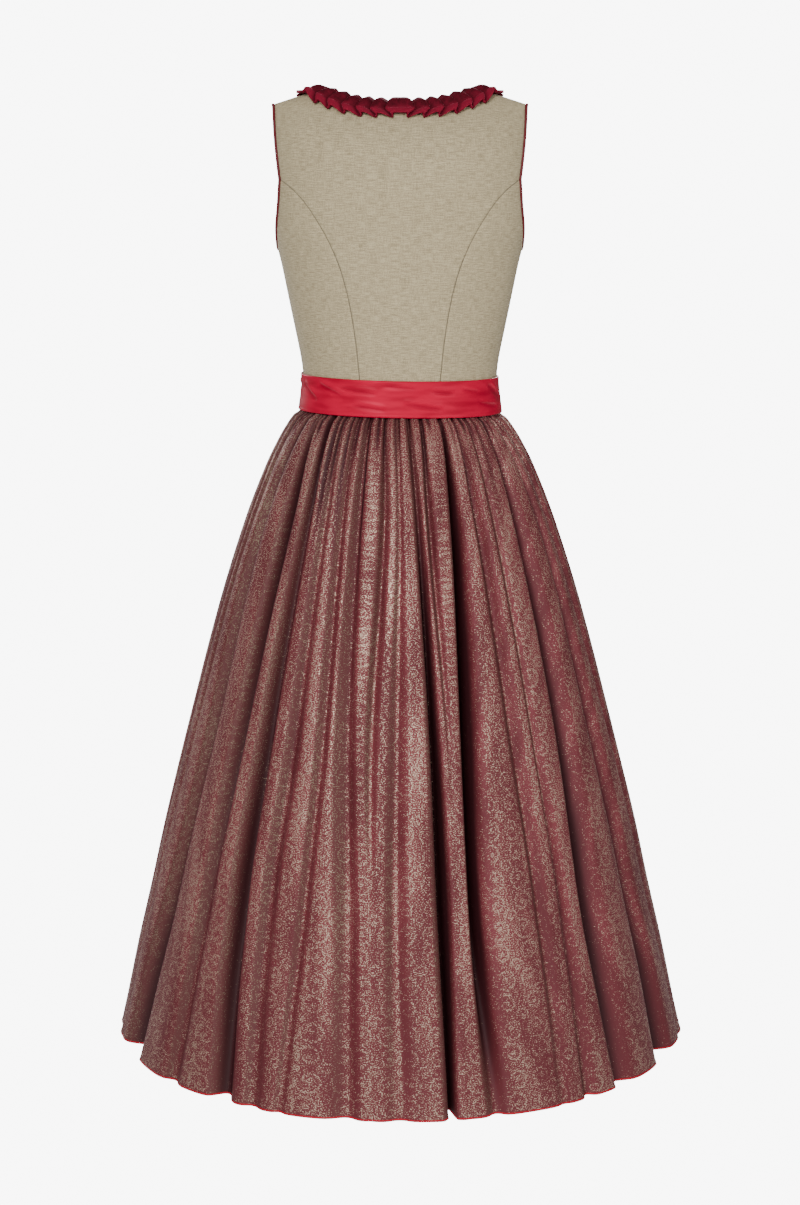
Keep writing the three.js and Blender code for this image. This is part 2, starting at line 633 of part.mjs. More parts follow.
// Points moved along the cloth's own normal, which each point's neighbours give.
function offsetGrid(grid, by) {
  const within = (list, i) => list[THREE.MathUtils.clamp(i, 0, list.length - 1)];
  const at = (i, j) => within(within(grid, i), j);
  return grid.map((row, i) =>
    row.map((p, j) => {
      const round = at(i, j + 1).clone().sub(at(i, j - 1));
      const down = at(i + 1, j).clone().sub(at(i - 1, j));
      down.addScaledVector(round, -down.dot(round) / round.lengthSq());
      return p.clone().addScaledVector(down.cross(round).normalize(), by);
    }),
  );
}

function skirtWidth(folds, from, to) {
  const edge = SEAM_SHIFT / skirtBase(SKIRT_LENGTH / 2, from).perDegree;
  const outer = SKIRT_ROWS.map((drop) =>
    foldColumns(folds, drop, from + edge, to - edge).map(({ turn, sunk }) => {
      const { point, out } = skirtBase(drop, turn);
      return point.addScaledVector(out, -sunk);
    }),
  );
  // The cloth lies inside the outer points. Its rows stay level, and its side edges stay at the seam.
  const inner = offsetGrid(outer, -SKIRT_CLOTH).map((row, i) =>
    row.map((p, j) => {
      const atSeam = j === 0 || j === row.length - 1;
      return p.set(p.x, atSeam ? outer[i][j].y : p.y, outer[i][j].z);
    }),
  );
  return { outer, inner };
}

function hemPiping(width) {
  const hem = [width.outer[width.outer.length - 1], width.inner[width.inner.length - 1]];
  const moved = (share, drop) =>
    hem[0].map((p, j) => p.clone().lerp(hem[1][j], share).setZ(hem[0][0].z - drop));
  const out = -HEM_PIPING.proud / SKIRT_CLOTH;
  const inn = (HEM_PIPING.cloth - HEM_PIPING.proud) / SKIRT_CLOTH;
  const rows = [SEAM_GAP, SEAM_GAP + HEM_PIPING.high];
  return wall(
    rows.map((drop) => moved(out, drop)),
    rows.map((drop) => moved(inn, drop)),
  );
}

// ---------------------------------------------------------------- materials and assembly

function finish(color, roughness, metalness = 0) {
  return () => new THREE.MeshStandardMaterial({ color, roughness, metalness });
}

const linen = finish(0xb2a892, 0.9);
const velvet = finish(0x6a1224, 0.85);
const satin = finish(0xc8323f, 0.35);
const jacquard = finish(0x82504c, 0.55, 0.15);
const crimson = finish(0x8e0d1a, 0.7);

const dirndl = new THREE.Group();

function add(name, geometry, material) {
  const mesh = new THREE.Mesh(geometry, material());
  mesh.name = name;
  dirndl.add(mesh);
}

const sewn = ({ outer, inner }) => wall(outer, inner);
const sewnLeft = ({ outer, inner }) => wall(mirroredGrid(outer), mirroredGrid(inner));

add('bodice_back', sewn(backPanel()), linen);
for (const [side, make] of [
  ['right', sewn],
  ['left', sewnLeft],
]) {
  add(`bodice_side_back_${side}`, make(sideBackPanel()), linen);
  add(`bodice_side_front_${side}`, make(sideFrontPanel()), linen);
  add(`bodice_front_${side}`, make(frontPanel()), linen);
}

const rightPiping = armholePiping();
add('armhole_piping_right', rightPiping, crimson);
const leftPiping = rightPiping.clone().scale(-1, 1, 1);
leftPiping.setIndex(Array.from(leftPiping.index.array).reverse());
add('armhole_piping_left', leftPiping, crimson);

add('neck_ruffle', neckRuffle(), velvet);
add('waistband', waistband(), satin);

const backWidth = skirtWidth(BACK_FOLDS, -90, 90);
const frontWidth = skirtWidth(FRONT_FOLDS, 90, 270);
add('skirt_back', sewn(backWidth), jacquard);
add('skirt_front', sewn(frontWidth), jacquard);
add('hem_piping_back', hemPiping(backWidth), crimson);
add('hem_piping_front', hemPiping(frontWidth), crimson);

export default dirndl;
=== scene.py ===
"""The looks of a sleeveless dirndl in its worn, hollow form.

A linen bodice of seven panels with piped armholes, a pleated velvet ribbon round the neck, a creased
satin waistband, a gathered jacquard skirt in two widths and a piped hem.

Sizes are in millimetres and become metres where a mesh is made. +Z is up, the front faces -Y and the
wearer's left is +X. A turn is the angle round the garment in degrees: 0 at centre back, 90 at the
wearer's right side, 180 at centre front. A height above SHOULDER_START runs along the cloth.
"""

import logging
import math
from dataclasses import dataclass, field
from enum import Enum

import bpy
import numpy as np
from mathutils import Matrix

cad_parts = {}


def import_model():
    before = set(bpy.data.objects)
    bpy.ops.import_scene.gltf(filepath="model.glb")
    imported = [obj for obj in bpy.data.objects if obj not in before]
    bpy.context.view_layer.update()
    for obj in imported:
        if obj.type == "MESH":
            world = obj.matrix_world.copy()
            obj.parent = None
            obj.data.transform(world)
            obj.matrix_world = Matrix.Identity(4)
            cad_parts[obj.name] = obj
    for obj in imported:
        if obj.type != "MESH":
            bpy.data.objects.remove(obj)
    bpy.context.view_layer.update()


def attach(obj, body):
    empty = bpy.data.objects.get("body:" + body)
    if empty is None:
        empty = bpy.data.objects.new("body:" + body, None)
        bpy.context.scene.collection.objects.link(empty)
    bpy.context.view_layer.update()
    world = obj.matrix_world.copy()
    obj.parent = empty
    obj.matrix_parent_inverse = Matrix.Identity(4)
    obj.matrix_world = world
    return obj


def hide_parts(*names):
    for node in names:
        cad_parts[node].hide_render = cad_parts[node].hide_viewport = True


MM = 0.001
BODY = "root"
CLOTH = "cloth"  # each point's place on the flat cloth, in metres: across, along, and along its own row
FOLD = "fold"  # each point's lean round the garment, from -1 to 1, and its depth in a fold in metres, made deeper under the band; they place the jacquard's painted shade

Array = np.ndarray
Colour = tuple[float, float, float]
log = logging.getLogger("dirndl")


# ---------------------------------------------------------------- shader tools


class Signal:
    """A number socket that Python's operators work on."""

    def __init__(self, finish: "NodeTree", socket: bpy.types.NodeSocket) -> None:
        """Keeps the tree and the socket."""
        self.finish = finish
        self.socket = socket

    def _maths(self, operation: str, *values: "Signal | float") -> "Signal":
        """Adds one Math node.

        Args:
            operation: Blender's name of the sum.
            values: its inputs, in order.

        Returns:
            The node's result.
        """
        inputs = {i: value for i, value in enumerate(values)}
        node = self.finish.node("ShaderNodeMath", {"operation": operation}, inputs)
        return Signal(self.finish, node.outputs[0])

    def __add__(self, other: "Signal | float") -> "Signal":
        """self + other."""
        return self._maths("ADD", self, other)

    def __radd__(self, other: float) -> "Signal":
        """other + self."""
        return self._maths("ADD", other, self)

    def __sub__(self, other: "Signal | float") -> "Signal":
        """self - other."""
        return self._maths("SUBTRACT", self, other)

    def __rsub__(self, other: float) -> "Signal":
        """other - self."""
        return self._maths("SUBTRACT", other, self)

    def __mul__(self, other: "Signal | float") -> "Signal":
        """self * other."""
        return self._maths("MULTIPLY", self, other)

    def __rmul__(self, other: float) -> "Signal":
        """other * self."""
        return self._maths("MULTIPLY", other, self)

    def __truediv__(self, other: "Signal | float") -> "Signal":
        """self / other."""
        return self._maths("DIVIDE", self, other)

    def __pow__(self, other: float) -> "Signal":
        """self to a power."""
        return self._maths("POWER", self, other)

    def __abs__(self) -> "Signal":
        """Its size without its sign."""
        return self._maths("ABSOLUTE", self)

    def highest(self, other: "Signal | float") -> "Signal":
        """The larger of the two."""
        return self._maths("MAXIMUM", self, other)

    def wave(self) -> "Signal":
        """Its sine."""
        return self._maths("SINE", self)

    def angle_from(self, other: "Signal") -> "Signal":
        """The angle whose tangent is self over other, in radians."""
        return self._maths("ARCTAN2", self, other)

    def folded(self, length: float) -> "Signal":
        """Goes up from 0 to length and back, over and over."""
        return self._maths("PINGPONG", self, length)

    def looped(self, length: float) -> "Signal":
        """Goes up from 0 to length, over and over."""
        return self._maths("FLOORED_MODULO", self, length)

    def step(self, low: float, high: float) -> "Signal":
        """A soft step.

        Args:
            low: the value where the step starts; may be above high for a falling step.
            high: the value where it ends.

        Returns:
            0 before the step and 1 after it.
        """
        rising = high > low
        ends = (low, high) if rising else (high, low)
        node = self.finish.node(
            "ShaderNodeMapRange",
            {"interpolation_type": "SMOOTHSTEP"},
            {"Value": self, "From Min": ends[0], "From Max": ends[1]},
        )
        result = Signal(self.finish, node.outputs["Result"])
        return result if rising else 1.0 - result


class NodeTree:
    """A material's nodes, with the few that every cloth needs."""

    def __init__(self, name: str) -> None:
        """Makes the material and empties it.

        Args:
            name: the material's name.
        """
        self.material = bpy.data.materials.new(name)
        self.material.use_nodes = True
        self.tree = self.material.node_tree
        self.tree.nodes.clear()

    def node(self, kind: str, settings: dict, inputs: dict) -> bpy.types.Node:
        """Adds any node.

        Args:
            kind: Blender's type name.
            settings: the node's own settings, such as its operation.
            inputs: values or links by the socket's name or number.

        Returns:
            The node.
        """
        made = self.tree.nodes.new(kind)
        for name, value in settings.items():
            setattr(made, name, value)
        for key, value in inputs.items():
            if isinstance(value, Signal):
                self.tree.links.new(value.socket, made.inputs[key])
            elif isinstance(value, bpy.types.NodeSocket):
                self.tree.links.new(value, made.inputs[key])
            else:
                made.inputs[key].default_value = value
        return made

    def cloth_place(self) -> tuple[Signal, Signal, Signal]:
        """The place on the flat cloth, in millimetres: across, along, and along the point's own row."""
        read = self.node("ShaderNodeAttribute", {"attribute_name": CLOTH}, {})
        parts = self.node("ShaderNodeSeparateXYZ", {}, {"Vector": read.outputs["Vector"]})
        across, along, run = (Signal(self, parts.outputs[i]) / MM for i in range(3))
        return across, along, run

    def fold_place(self) -> tuple[Signal, Signal]:
        """The cloth's lean round the garment, from -1 to 1, and its depth in a fold in millimetres: where the
        painted shade goes.
        """
        read = self.node("ShaderNodeAttribute", {"attribute_name": FOLD}, {})
        parts = self.node("ShaderNodeSeparateXYZ", {}, {"Vector": read.outputs["Vector"]})
        return Signal(self, parts.outputs[0]), Signal(self, parts.outputs[1]) / MM

    def point(self, x: Signal | float, y: Signal | float, z: Signal | float = 0.0) -> bpy.types.NodeSocket:
        """Joins three numbers into a vector."""
        return self.node("ShaderNodeCombineXYZ", {}, {"X": x, "Y": y, "Z": z}).outputs[0]

    def noise(self, where: bpy.types.NodeSocket, detail: float = 2.0, rough: float = 0.5) -> Signal:
        """Soft noise from 0 to 1.

        Args:
            where: the place, with one noise cell to a unit.
            detail: how many finer layers it has.
            rough: the strength of the finer layers.

        Returns:
            The noise.
        """
        inputs = {"Vector": where, "Scale": 1.0, "Detail": detail, "Roughness": rough}
        return Signal(self, self.node("ShaderNodeTexNoise", {}, inputs).outputs["Fac"])

    def mix(
        self,
        share: Signal,
        low: Colour | bpy.types.NodeSocket,
        high: Colour | bpy.types.NodeSocket,
    ) -> bpy.types.NodeSocket:
        """Mixes two colours.

        Args:
            share: how much of high.
            low: the colour at 0.
            high: the colour at 1.

        Returns:
            The mixed colour.
        """
        ends = [(*c, 1.0) if isinstance(c, tuple) else c for c in (low, high)]
        settings = {"data_type": "RGBA", "clamp_factor": True}
        return self.node("ShaderNodeMix", settings, {0: share, 6: ends[0], 7: ends[1]}).outputs[2]

    def bump(self, height: Signal, distance: float, strength: float = 1.0) -> bpy.types.NodeSocket:
        """A normal bent by a height.

        Args:
            height: from 0 to 1.
            distance: what a height of 1 is, in millimetres.
            strength: how much of it shows.

        Returns:
            The normal.
        """
        inputs = {"Height": height, "Distance": distance * MM, "Strength": strength}
        return self.node("ShaderNodeBump", {}, inputs).outputs[0]

    def finish(self, inputs: dict) -> bpy.types.Material:
        """Ends the material in one Principled shader.

        Args:
            inputs: the shader's sockets.

        Returns:
            The finished material.
        """
        shader = self.node("ShaderNodeBsdfPrincipled", {}, inputs)
        output = self.node("ShaderNodeOutputMaterial", {}, {})
        self.tree.links.new(shader.outputs[0], output.inputs["Surface"])
        return self.material


# ---------------------------------------------------------------- finishes


@dataclass(frozen=True)
class Linen:
    """Heathered linen: a fine plain weave with slubs along both threads."""

    pale: Colour = (0.54, 0.45, 0.278)
    dark: Colour = (0.25, 0.200, 0.114)
    fleck: Colour = (0.72, 0.60, 0.42)
    seam: Colour = (0.095, 0.078, 0.048)
    thread: float = 0.9
    slub_long: float = 13.0
    slub_thick: float = 0.95
    heather_wide: float = 1.5
    heather_long: float = 1.3
    cloud_size: float = 60.0
    seam_start: float = 1.0  # the cloth darkens from this far to a seam: a dark seam line with painted shadow in the seam
    seam_full: float = 0.2
    seam_share: float = 0.8
    weave_deep: float = 0.22
    roughness: float = 0.88

    def make(self) -> bpy.types.Material:
        """Builds the material."""
        tree = NodeTree("linen")
        across, along, from_seam = tree.cloth_place()
        thick, long = self.slub_thick, self.slub_long
        weft = tree.noise(tree.point(across / long, along / thick), 2.0)
        warp = tree.noise(tree.point(across / thick, along / long, 7.0), 2.0)
        heather = tree.noise(tree.point(across / self.heather_wide, along / self.heather_long, 3.0), 3.0, 0.7)
        cloud = tree.noise(tree.point(across / self.cloud_size, along / self.cloud_size, 5.0), 1.0)
        tone = (weft * 0.4 + warp * 0.2 + heather * 0.4).step(0.39, 0.61)
        tone = tone * 0.88 + cloud * 0.12
        flecks = (weft * 0.5 + heather * 0.5).step(0.62, 0.72)
        colour = tree.mix(tone, self.dark, self.pale)
        colour = tree.mix(flecks * 0.55, colour, self.fleck)
        # a dark line along each seam and edge: partly the seam's own colour, partly painted shadow
        sewn = from_seam.step(self.seam_start, self.seam_full) * self.seam_share
        colour = tree.mix(sewn, colour, self.seam)
        turn = math.tau / self.thread
        weave = (across * turn).wave() * 0.25 + (along * turn).wave() * 0.25 + 0.5
        height = weave * 0.4 + weft * 0.35 + warp * 0.25
        return tree.finish(
            {
                "Base Color": colour,
                "Roughness": self.roughness,
                "Specular IOR Level": 0.25,
                "Sheen Weight": 0.12,
                "Sheen Roughness": 0.5,
                "Normal": tree.bump(height, self.weave_deep, 0.7),
            }
        )


@dataclass(frozen=True)
class Velvet:
    """Cotton velvet ribbon: a deep red pile that lights up where it turns away."""

    # deep is the painted shade and bright the lit colour of the pile; the brushed noise between them is the
    # pile's own tone
    deep: Colour = (0.055, 0.0015, 0.006)
    bright: Colour = (0.262, 0.009, 0.031)
    sheen: Colour = (0.95, 0.22, 0.33)
    pile: float = 0.7
    brush_long: float = 7.0
    brush_wide: float = 5.0
    shade_turn: float = 3.0  # the painted shade of the upper half gives way to the lighter lower half over this far either side of the stitching
    shaded_layer: float = 1.2  # the height of the covered layers, which get painted shade under the pleats
    lit_layer: float = 4.6

    def make(self) -> bpy.types.Material:
        """Builds the material. The upper half is painted darker than the lower half, as painted shade, and
        the covered layers are painted dark, as painted shade under the pleats.
        """
        tree = NodeTree("velvet")
        across, along, height = tree.cloth_place()
        brushed = tree.noise(tree.point(across / self.brush_long, along / self.brush_wide), 2.0)
        nap_and_shade = along.step(-self.shade_turn, self.shade_turn) * 0.72 + brushed.step(0.3, 0.75) * 0.28
        nap_and_shade = nap_and_shade * (height.step(self.shaded_layer, self.lit_layer) * 0.72 + 0.28)
        pile = tree.noise(tree.point(across / self.pile, along / self.pile, 4.0), 2.0)
        return tree.finish(
            {
                "Base Color": tree.mix(nap_and_shade, self.deep, self.bright),
                "Roughness": 0.86,
                "Specular IOR Level": 0.12,
                "Sheen Weight": 0.30,
                "Sheen Roughness": 0.32,
                "Sheen Tint": (*self.sheen, 1.0),
                "Normal": tree.bump(pile * 0.5 + brushed * 0.5, 0.5, 0.45),
            }
        )


@dataclass(frozen=True)
class Satin:
    """Duchesse satin: smooth weft floats with a soft gloss."""

    ground: Colour = (0.53, 0.0030, 0.036)
    shade: Colour = (0.36, 0.0019, 0.022)
    # crease: the painted shade in the creases
    crease: Colour = (0.15, 0.0009, 0.010)
    crease_shade_start: float = 0.25  # below this height the creases get painted shade
    crease_shade_full: float = -1.45
    drawn_long: float = 48.0
    drawn_wide: float = 11.0
    thread_long: float = 9.0
    thread_thick: float = 0.45

    def make(self) -> bpy.types.Material:
        """Builds the material."""
        tree = NodeTree("satin")
        across, along, moved = tree.cloth_place()
        drawn = tree.noise(tree.point(across / self.drawn_long, along / self.drawn_wide), 1.5)
        thread = tree.noise(tree.point(across / self.thread_long, along / self.thread_thick, 2.0), 1.0)
        colour = tree.mix(drawn.step(0.38, 0.68) * 0.9, self.ground, self.shade)
        # painted shade: the satin darkens where a crease presses it in
        pressed = moved.step(self.crease_shade_start, self.crease_shade_full)
        colour = tree.mix(pressed * 0.5, colour, self.crease)
        return tree.finish(
            {
                "Base Color": colour,
                "Roughness": 0.33 + drawn * 0.10,
                "Specular IOR Level": 0.40,
                "Specular Tint": (1.0, 0.12, 0.2, 1.0),
                "Normal": tree.bump(drawn * 0.8 + thread * 0.2, 0.4, 0.25),
            }
        )


@dataclass(frozen=True)
class Jacquard:
    """Wine ground with mirrored scrolls and a scatter of dull gold metal threads.

    The metal shows fully on the crests of the folds. On one wall of a fold fewer metal specks are drawn, as
    painted shade where their glint would fade, and the other wall gets a darker ground and darker metal, as
    painted shade.
    """

    ground: Colour = (0.172, 0.030, 0.038)
    ground_dark: Colour = (0.108, 0.0175, 0.0225)
    ground_shaded_wall: Colour = (0.105, 0.028, 0.028)
    ground_fold_shade: Colour = (0.022, 0.003, 0.005)
    fold_shade_start: float = 7.5  # folds deeper than this lose their metal and are darkened, as painted shade
    fold_shade_end: float = 25.0
    gathers_start: float = -190.0  # places along the cloth, upwards, where the gathers hide the figure
    gathers_full: float = -40.0
    low_start: float = -640.0  # places towards the hem, where the metal and the ground are plainer
    low_full: float = -830.0
    worn_wide: float = 30.0
    worn_long: float = 190.0
    metal: Colour = (0.50, 0.365, 0.275)
    metal_shaded_wall: Colour = (0.235, 0.18, 0.125)
    repeat: float = 62.0
    grain_wide: float = 1.65
    grain_long: float = 1.4
    sparse: float = 0.592  # the noise value above which metal shows on the ground
    figure_gain: float = 0.067
    scrolls: tuple[tuple[float, float, float, float], ...] = (
        (0.40, 0.52, 0.40, 1.0),
        (0.46, -0.48, 0.46, -1.0),
        (1.00, 0.02, 0.24, 1.0),
        (0.06, 0.98, 0.22, -1.0),
    )  # middle across and along, size and turn of each scroll, in half repeats
    leaves: tuple[tuple[float, float, float], ...] = (
        (0.50, 0.24, 0.09), (-0.02, 0.16, 0.12), (-0.56, 0.22, 0.08),
    )  # fmt: skip

    def figure(self, tree: NodeTree, across: Signal, along: Signal) -> Signal:
        """The figure: scrolls, buds, leaves and dotted stems, mirrored about each repeat's middle.

        Args:
            tree: the material's nodes.
            across: place across the cloth, in millimetres.
            along: place along it.

        Returns:
            1 in the figure and 0 on the ground.
        """
        half = self.repeat / 2
        sway = tree.noise(tree.point(across / 21.0, along / 21.0, 6.0), 1.0) - 0.5
        x = (across / half + sway * 0.10).folded(1.0)
        y = (along / half + sway * 0.10).looped(2.0) - 1.0
        stem = abs(x - 0.78 - (y * math.pi).wave() * 0.12).step(0.055, 0.02)
        figure = stem * (along / 2.6 * math.tau).wave().step(-0.2, 0.4)
        for centre_x, centre_y, size, turn in self.scrolls:
            dx, dy = x - centre_x, y - centre_y
            far = (dx * dx + dy * dy) ** 0.5
            wound = size * 0.78 + dy.angle_from(dx) * (turn * size * 0.10)
            ring = abs(far - wound).step(0.075, 0.03)
            bud = far.step(size * 0.34, size * 0.18)
            figure = figure.highest(ring).highest(bud)
        for centre_y, tall, wide in self.leaves:
            dx, dy = x / wide, (y - centre_y) / tall
            figure = figure.highest((dx * dx + dy * dy).step(1.25, 0.7))
        return figure

    def make(self) -> bpy.types.Material:
        """Builds the material."""
        tree = NodeTree("jacquard")
        across, along, run = tree.cloth_place()
        lean, depth = tree.fold_place()
        gathered = along.step(self.gathers_start, self.gathers_full)
        figure = self.figure(tree, across, along) * (1.0 - gathered * 0.5)
        grain = tree.noise(tree.point(run / self.grain_wide, along / self.grain_long, 9.0), 1.5, 0.6)
        worn = tree.noise(tree.point(run / self.worn_wide, along / self.worn_long, 2.0), 2.0)
        # painted shade: fewer metal specks on the wall that leans one way, where their glint would fade
        glintless_wall = lean.step(0.14, 0.50)
        # painted shade: a darker ground and darker metal on the wall that leans the other way
        shaded_wall = lean.step(-0.20, -0.60)
        # painted shade: deep folds and the gathers under the band lose their metal and are darkened
        inside = depth.step(self.fold_shade_start, self.fold_shade_end)
        glintless_wall = glintless_wall * (1.0 - gathered * 0.6)
        cover = figure * self.figure_gain + (worn - 0.5) * 0.22 - glintless_wall * 0.08 - shaded_wall * 0.03 - inside * 0.12
        low = along.step(self.low_start, self.low_full)
        cover = cover + gathered * 0.03 - low * 0.022
        shown = (grain + cover - self.sparse).step(-0.035, 0.045)
        ground = tree.mix(worn.step(0.3, 0.7) * (1.0 - low * 0.7), self.ground_dark, self.ground)
        ground = tree.mix(shaded_wall, ground, self.ground_shaded_wall)
        ground = tree.mix(inside * 0.85, ground, self.ground_fold_shade)
        metal = tree.mix(shaded_wall, self.metal, self.metal_shaded_wall)
        return tree.finish(
            {
                "Base Color": tree.mix(shown, ground, metal),
                "Metallic": shown * 0.7,
                "Roughness": 0.64 - shown * 0.16,
                "Specular IOR Level": 0.25,
                "Normal": tree.bump(shown * 0.6 + grain * 0.4, 0.3, 0.6),
            }
        )


@dataclass(frozen=True)
class Piping:
    """Cotton piping cord in a crimson bias cover."""

    name: str = "piping"
    colour: Colour = (0.150, 0.0025, 0.0090)
    dark: Colour = (0.070, 0.0012, 0.0040)
    rib: float = 2.4
    fuzz: float = 0.9

    def make(self) -> bpy.types.Material:
        """Builds the material."""
        tree = NodeTree(self.name)
        across, along, _ = tree.cloth_place()
        slant = (across / self.rib * math.tau + along * 0.8).wave() * 0.5 + 0.5
        fuzz = tree.noise(tree.point(across / self.fuzz, along / self.fuzz), 2.0)
        return tree.finish(
            {
                "Base Color": tree.mix(slant * 0.6 + fuzz * 0.4, self.dark, self.colour),
                "Roughness": 0.62,
                "Specular IOR Level": 0.35,
                "Sheen Weight": 0.08,
                "Sheen Roughness": 0.4,
                "Sheen Tint": (1.0, 0.3, 0.35, 1.0),
                "Normal": tree.bump(slant * 0.7 + fuzz * 0.3, 0.25, 0.5),
            }
        )


class Slot(Enum):
    """Material slots."""

    LINEN = "linen"
    VELVET = "velvet"
    SATIN = "satin"
    JACQUARD = "jacquard"
    PIPING = "piping"


class Finishes:
    """Every finish, made once."""

    def __init__(self) -> None:
        """Builds the materials."""
        self.linen = Linen().make()
        self.velvet = Velvet().make()
        self.satin = Satin().make()
        self.jacquard = Jacquard().make()
        self.armhole = Piping().make()
        # painted light: the hem cord is the piping's crimson made brighter, to make up for the shade under
        # the hem
        bright = Piping("hem_cord", (0.50, 0.0060, 0.022), (0.34, 0.0035, 0.013))
        self.hem = bright.make()


# ---------------------------------------------------------------- mesh tools


def smooth_value(keys: Array, values: Array, at: Array) -> Array:
    """Reads a table smoothly between its rows.

    Args:
        keys: the rising column.
        values: the column that is read.
        at: where to read it.

    Returns:
        A value for each place.
    """
    at = np.asarray(at, float)
    last = len(keys) - 1
    low = np.clip(np.searchsorted(keys, at, side="left") - 1, 0, last - 1)
    before = np.maximum(np.arange(last + 1) - 1, 0)
    after = np.minimum(np.arange(last + 1) + 1, last)
    slope = (values[after] - values[before]) / (keys[after] - keys[before])
    step = keys[low + 1] - keys[low]
    t = np.clip((at - keys[low]) / step, 0, 1)
    s = t * t * (3 - 2 * t)
    bend = slope[low] * (1 - t) - slope[low + 1] * t
    return values[low] * (1 - s) + values[low + 1] * s + bend * t * (1 - t) * step


def cubic(start: Array, end: Array, leave: Array, arrive: Array, t: Array) -> Array:
    """Points of a cubic curve from one point to the next.

    Args:
        start: its first point.
        end: its last point.
        leave: how it leaves the first point.
        arrive: how it arrives at the last.
        t: shares of the way.

    Returns:
        A point for each share.
    """
    cube = 2 * start - 2 * end + leave + arrive
    square = -3 * start + 3 * end - 2 * leave - arrive
    return ((cube * t + square) * t + leave) * t + start


def line_travelled(points: Array) -> Array:
    """How far each point of a line is from its start."""
    return np.concatenate([[0], np.cumsum(np.linalg.norm(np.diff(points, axis=0), axis=1))])


def smooth_curve(corners: Array, samples: int) -> Array:
    """A centripetal Catmull-Rom curve through corners, evenly stepped along its length.

    Args:
        corners: points, one to a row.
        samples: how many points to return.

    Returns:
        The points.
    """
    ends = [2 * corners[0] - corners[1], 2 * corners[-1] - corners[-2]]
    points = np.vstack([ends[0], corners, ends[1]])
    t = np.linspace(0, 1, 60, endpoint=False)[:, None]
    pieces = []
    for i in range(1, len(points) - 2):
        p0, p1, p2, p3 = points[i - 1 : i + 3]
        d0, d1, d2 = (math.sqrt(np.linalg.norm(b - a)) for a, b in ((p0, p1), (p1, p2), (p2, p3)))
        m1 = ((p1 - p0) / d0 - (p2 - p0) / (d0 + d1) + (p2 - p1) / d1) * d1
        m2 = ((p2 - p1) / d1 - (p3 - p1) / (d1 + d2) + (p3 - p2) / d2) * d1
        pieces.append(cubic(p1, p2, m1, m2, t))
    dense = np.vstack([*pieces, corners[-1:]])
    along = line_travelled(dense)
    wanted = np.linspace(0, along[-1], samples)
    return np.stack([np.interp(wanted, along, dense[:, k]) for k in range(dense.shape[1])], 1)


def unit(vectors: Array) -> Array:
    """The vectors at length 1."""
    return vectors / np.maximum(np.linalg.norm(vectors, axis=-1, keepdims=True), 1e-12)


def grid_normals(grid: Array) -> Array:
    """The direction that faces out of a grid of points, down its rows and along its columns.

    Args:
        grid: rows by columns of points.

    Returns:
        A unit vector for each point: along crossed with down.
    """
    return unit(np.cross(np.gradient(grid, axis=1), np.gradient(grid, axis=0)))


def flat_places(across: Array, along: Array | float, third: Array | float = 0.0) -> Array:
    """Joins places across and along the cloth, and a third measure, point by point."""
    return np.stack(np.broadcast_arrays(across, along, third), -1)


def travelled(grid: Array, axis: int) -> Array:
    """How far each point of a grid is along its row (axis 1) or column (axis 0)."""
    steps = np.linalg.norm(np.diff(grid, axis=axis), axis=-1)
    start = np.zeros_like(np.take(steps, [0], axis=axis))
    return np.concatenate([start, np.cumsum(steps, axis=axis)], axis=axis)


@dataclass
class Sewn:
    """A closed cloth wall, ready to become a piece.

    Attributes:
        name: the piece's name.
        node: the CAD node that it stands for.
        slot: a material slot, which is not used.
        outer: rows by columns of points on the outer side.
        inner: the same on the inner side.
        cloth: each point's place on the flat cloth, in millimetres.
        fold: folded cloth's lean round the garment, and its depth in metres, at each point, which place the
            painted shade.
    """

    name: str
    node: str
    slot: Slot
    outer: Array
    inner: Array
    cloth: Array
    fold: Array | None = None

    def points(self) -> Array:
        """Every corner, outer side first, in metres."""
        return np.concatenate([self.outer.reshape(-1, 3), self.inner.reshape(-1, 3)]) * MM

    def places(self) -> Array:
        """Each corner's place on the flat cloth, in metres."""
        return np.concatenate([self.cloth.reshape(-1, 3)] * 2) * MM

    def faces(self) -> Array:
        """The corner numbers of all faces: both sides, the two long edges and the two ends."""
        rows, columns = self.outer.shape[:2]
        shift = rows * columns
        i, j = np.meshgrid(np.arange(rows - 1), np.arange(columns - 1), indexing="ij")
        i, j = (i * columns).ravel(), j.ravel()
        out = np.stack([i + j, i + j + 1, i + columns + j + 1, i + columns + j], -1)
        j = np.arange(columns - 1)
        top = np.stack([j + 1, j, j + shift, j + 1 + shift], -1)
        j = j + (rows - 1) * columns
        base = np.stack([j, j + 1, j + 1 + shift, j + shift], -1)
        i = np.arange(rows - 1) * columns
        first = np.stack([i, i + columns, i + columns + shift, i + shift], -1)
        i = i + columns - 1
        last = np.stack([i + columns, i, i + shift, i + columns + shift], -1)
        return np.vstack([out, out[:, ::-1] + shift, top, base, first, last])

    def build(self, material: bpy.types.Material) -> bpy.types.Object:
        """Makes the piece.

        Args:
            material: its finish.

        Returns:
            The piece, riding on the dress and standing for its node.
        """
        points, faces = self.points(), self.faces()
        a, b, c, d = (points[faces[:, k]] for k in range(4))
        if np.sum(np.cross(b, c) * a + np.cross(c, d) * a) < 0:
            faces = faces[:, ::-1]  # the faces looked inwards
        piece = make_mesh(self.name, points, faces, self.places(), material)
        if self.fold is not None:
            layer = piece.data.attributes.new(FOLD, "FLOAT_VECTOR", "POINT")
            layer.data.foreach_set("vector", np.tile(self.fold.astype(np.float32).ravel(), 2))
        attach(piece, BODY)
        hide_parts(self.node)
        log.info("%s: %d triangles", self.name, 2 * len(faces))
        return piece


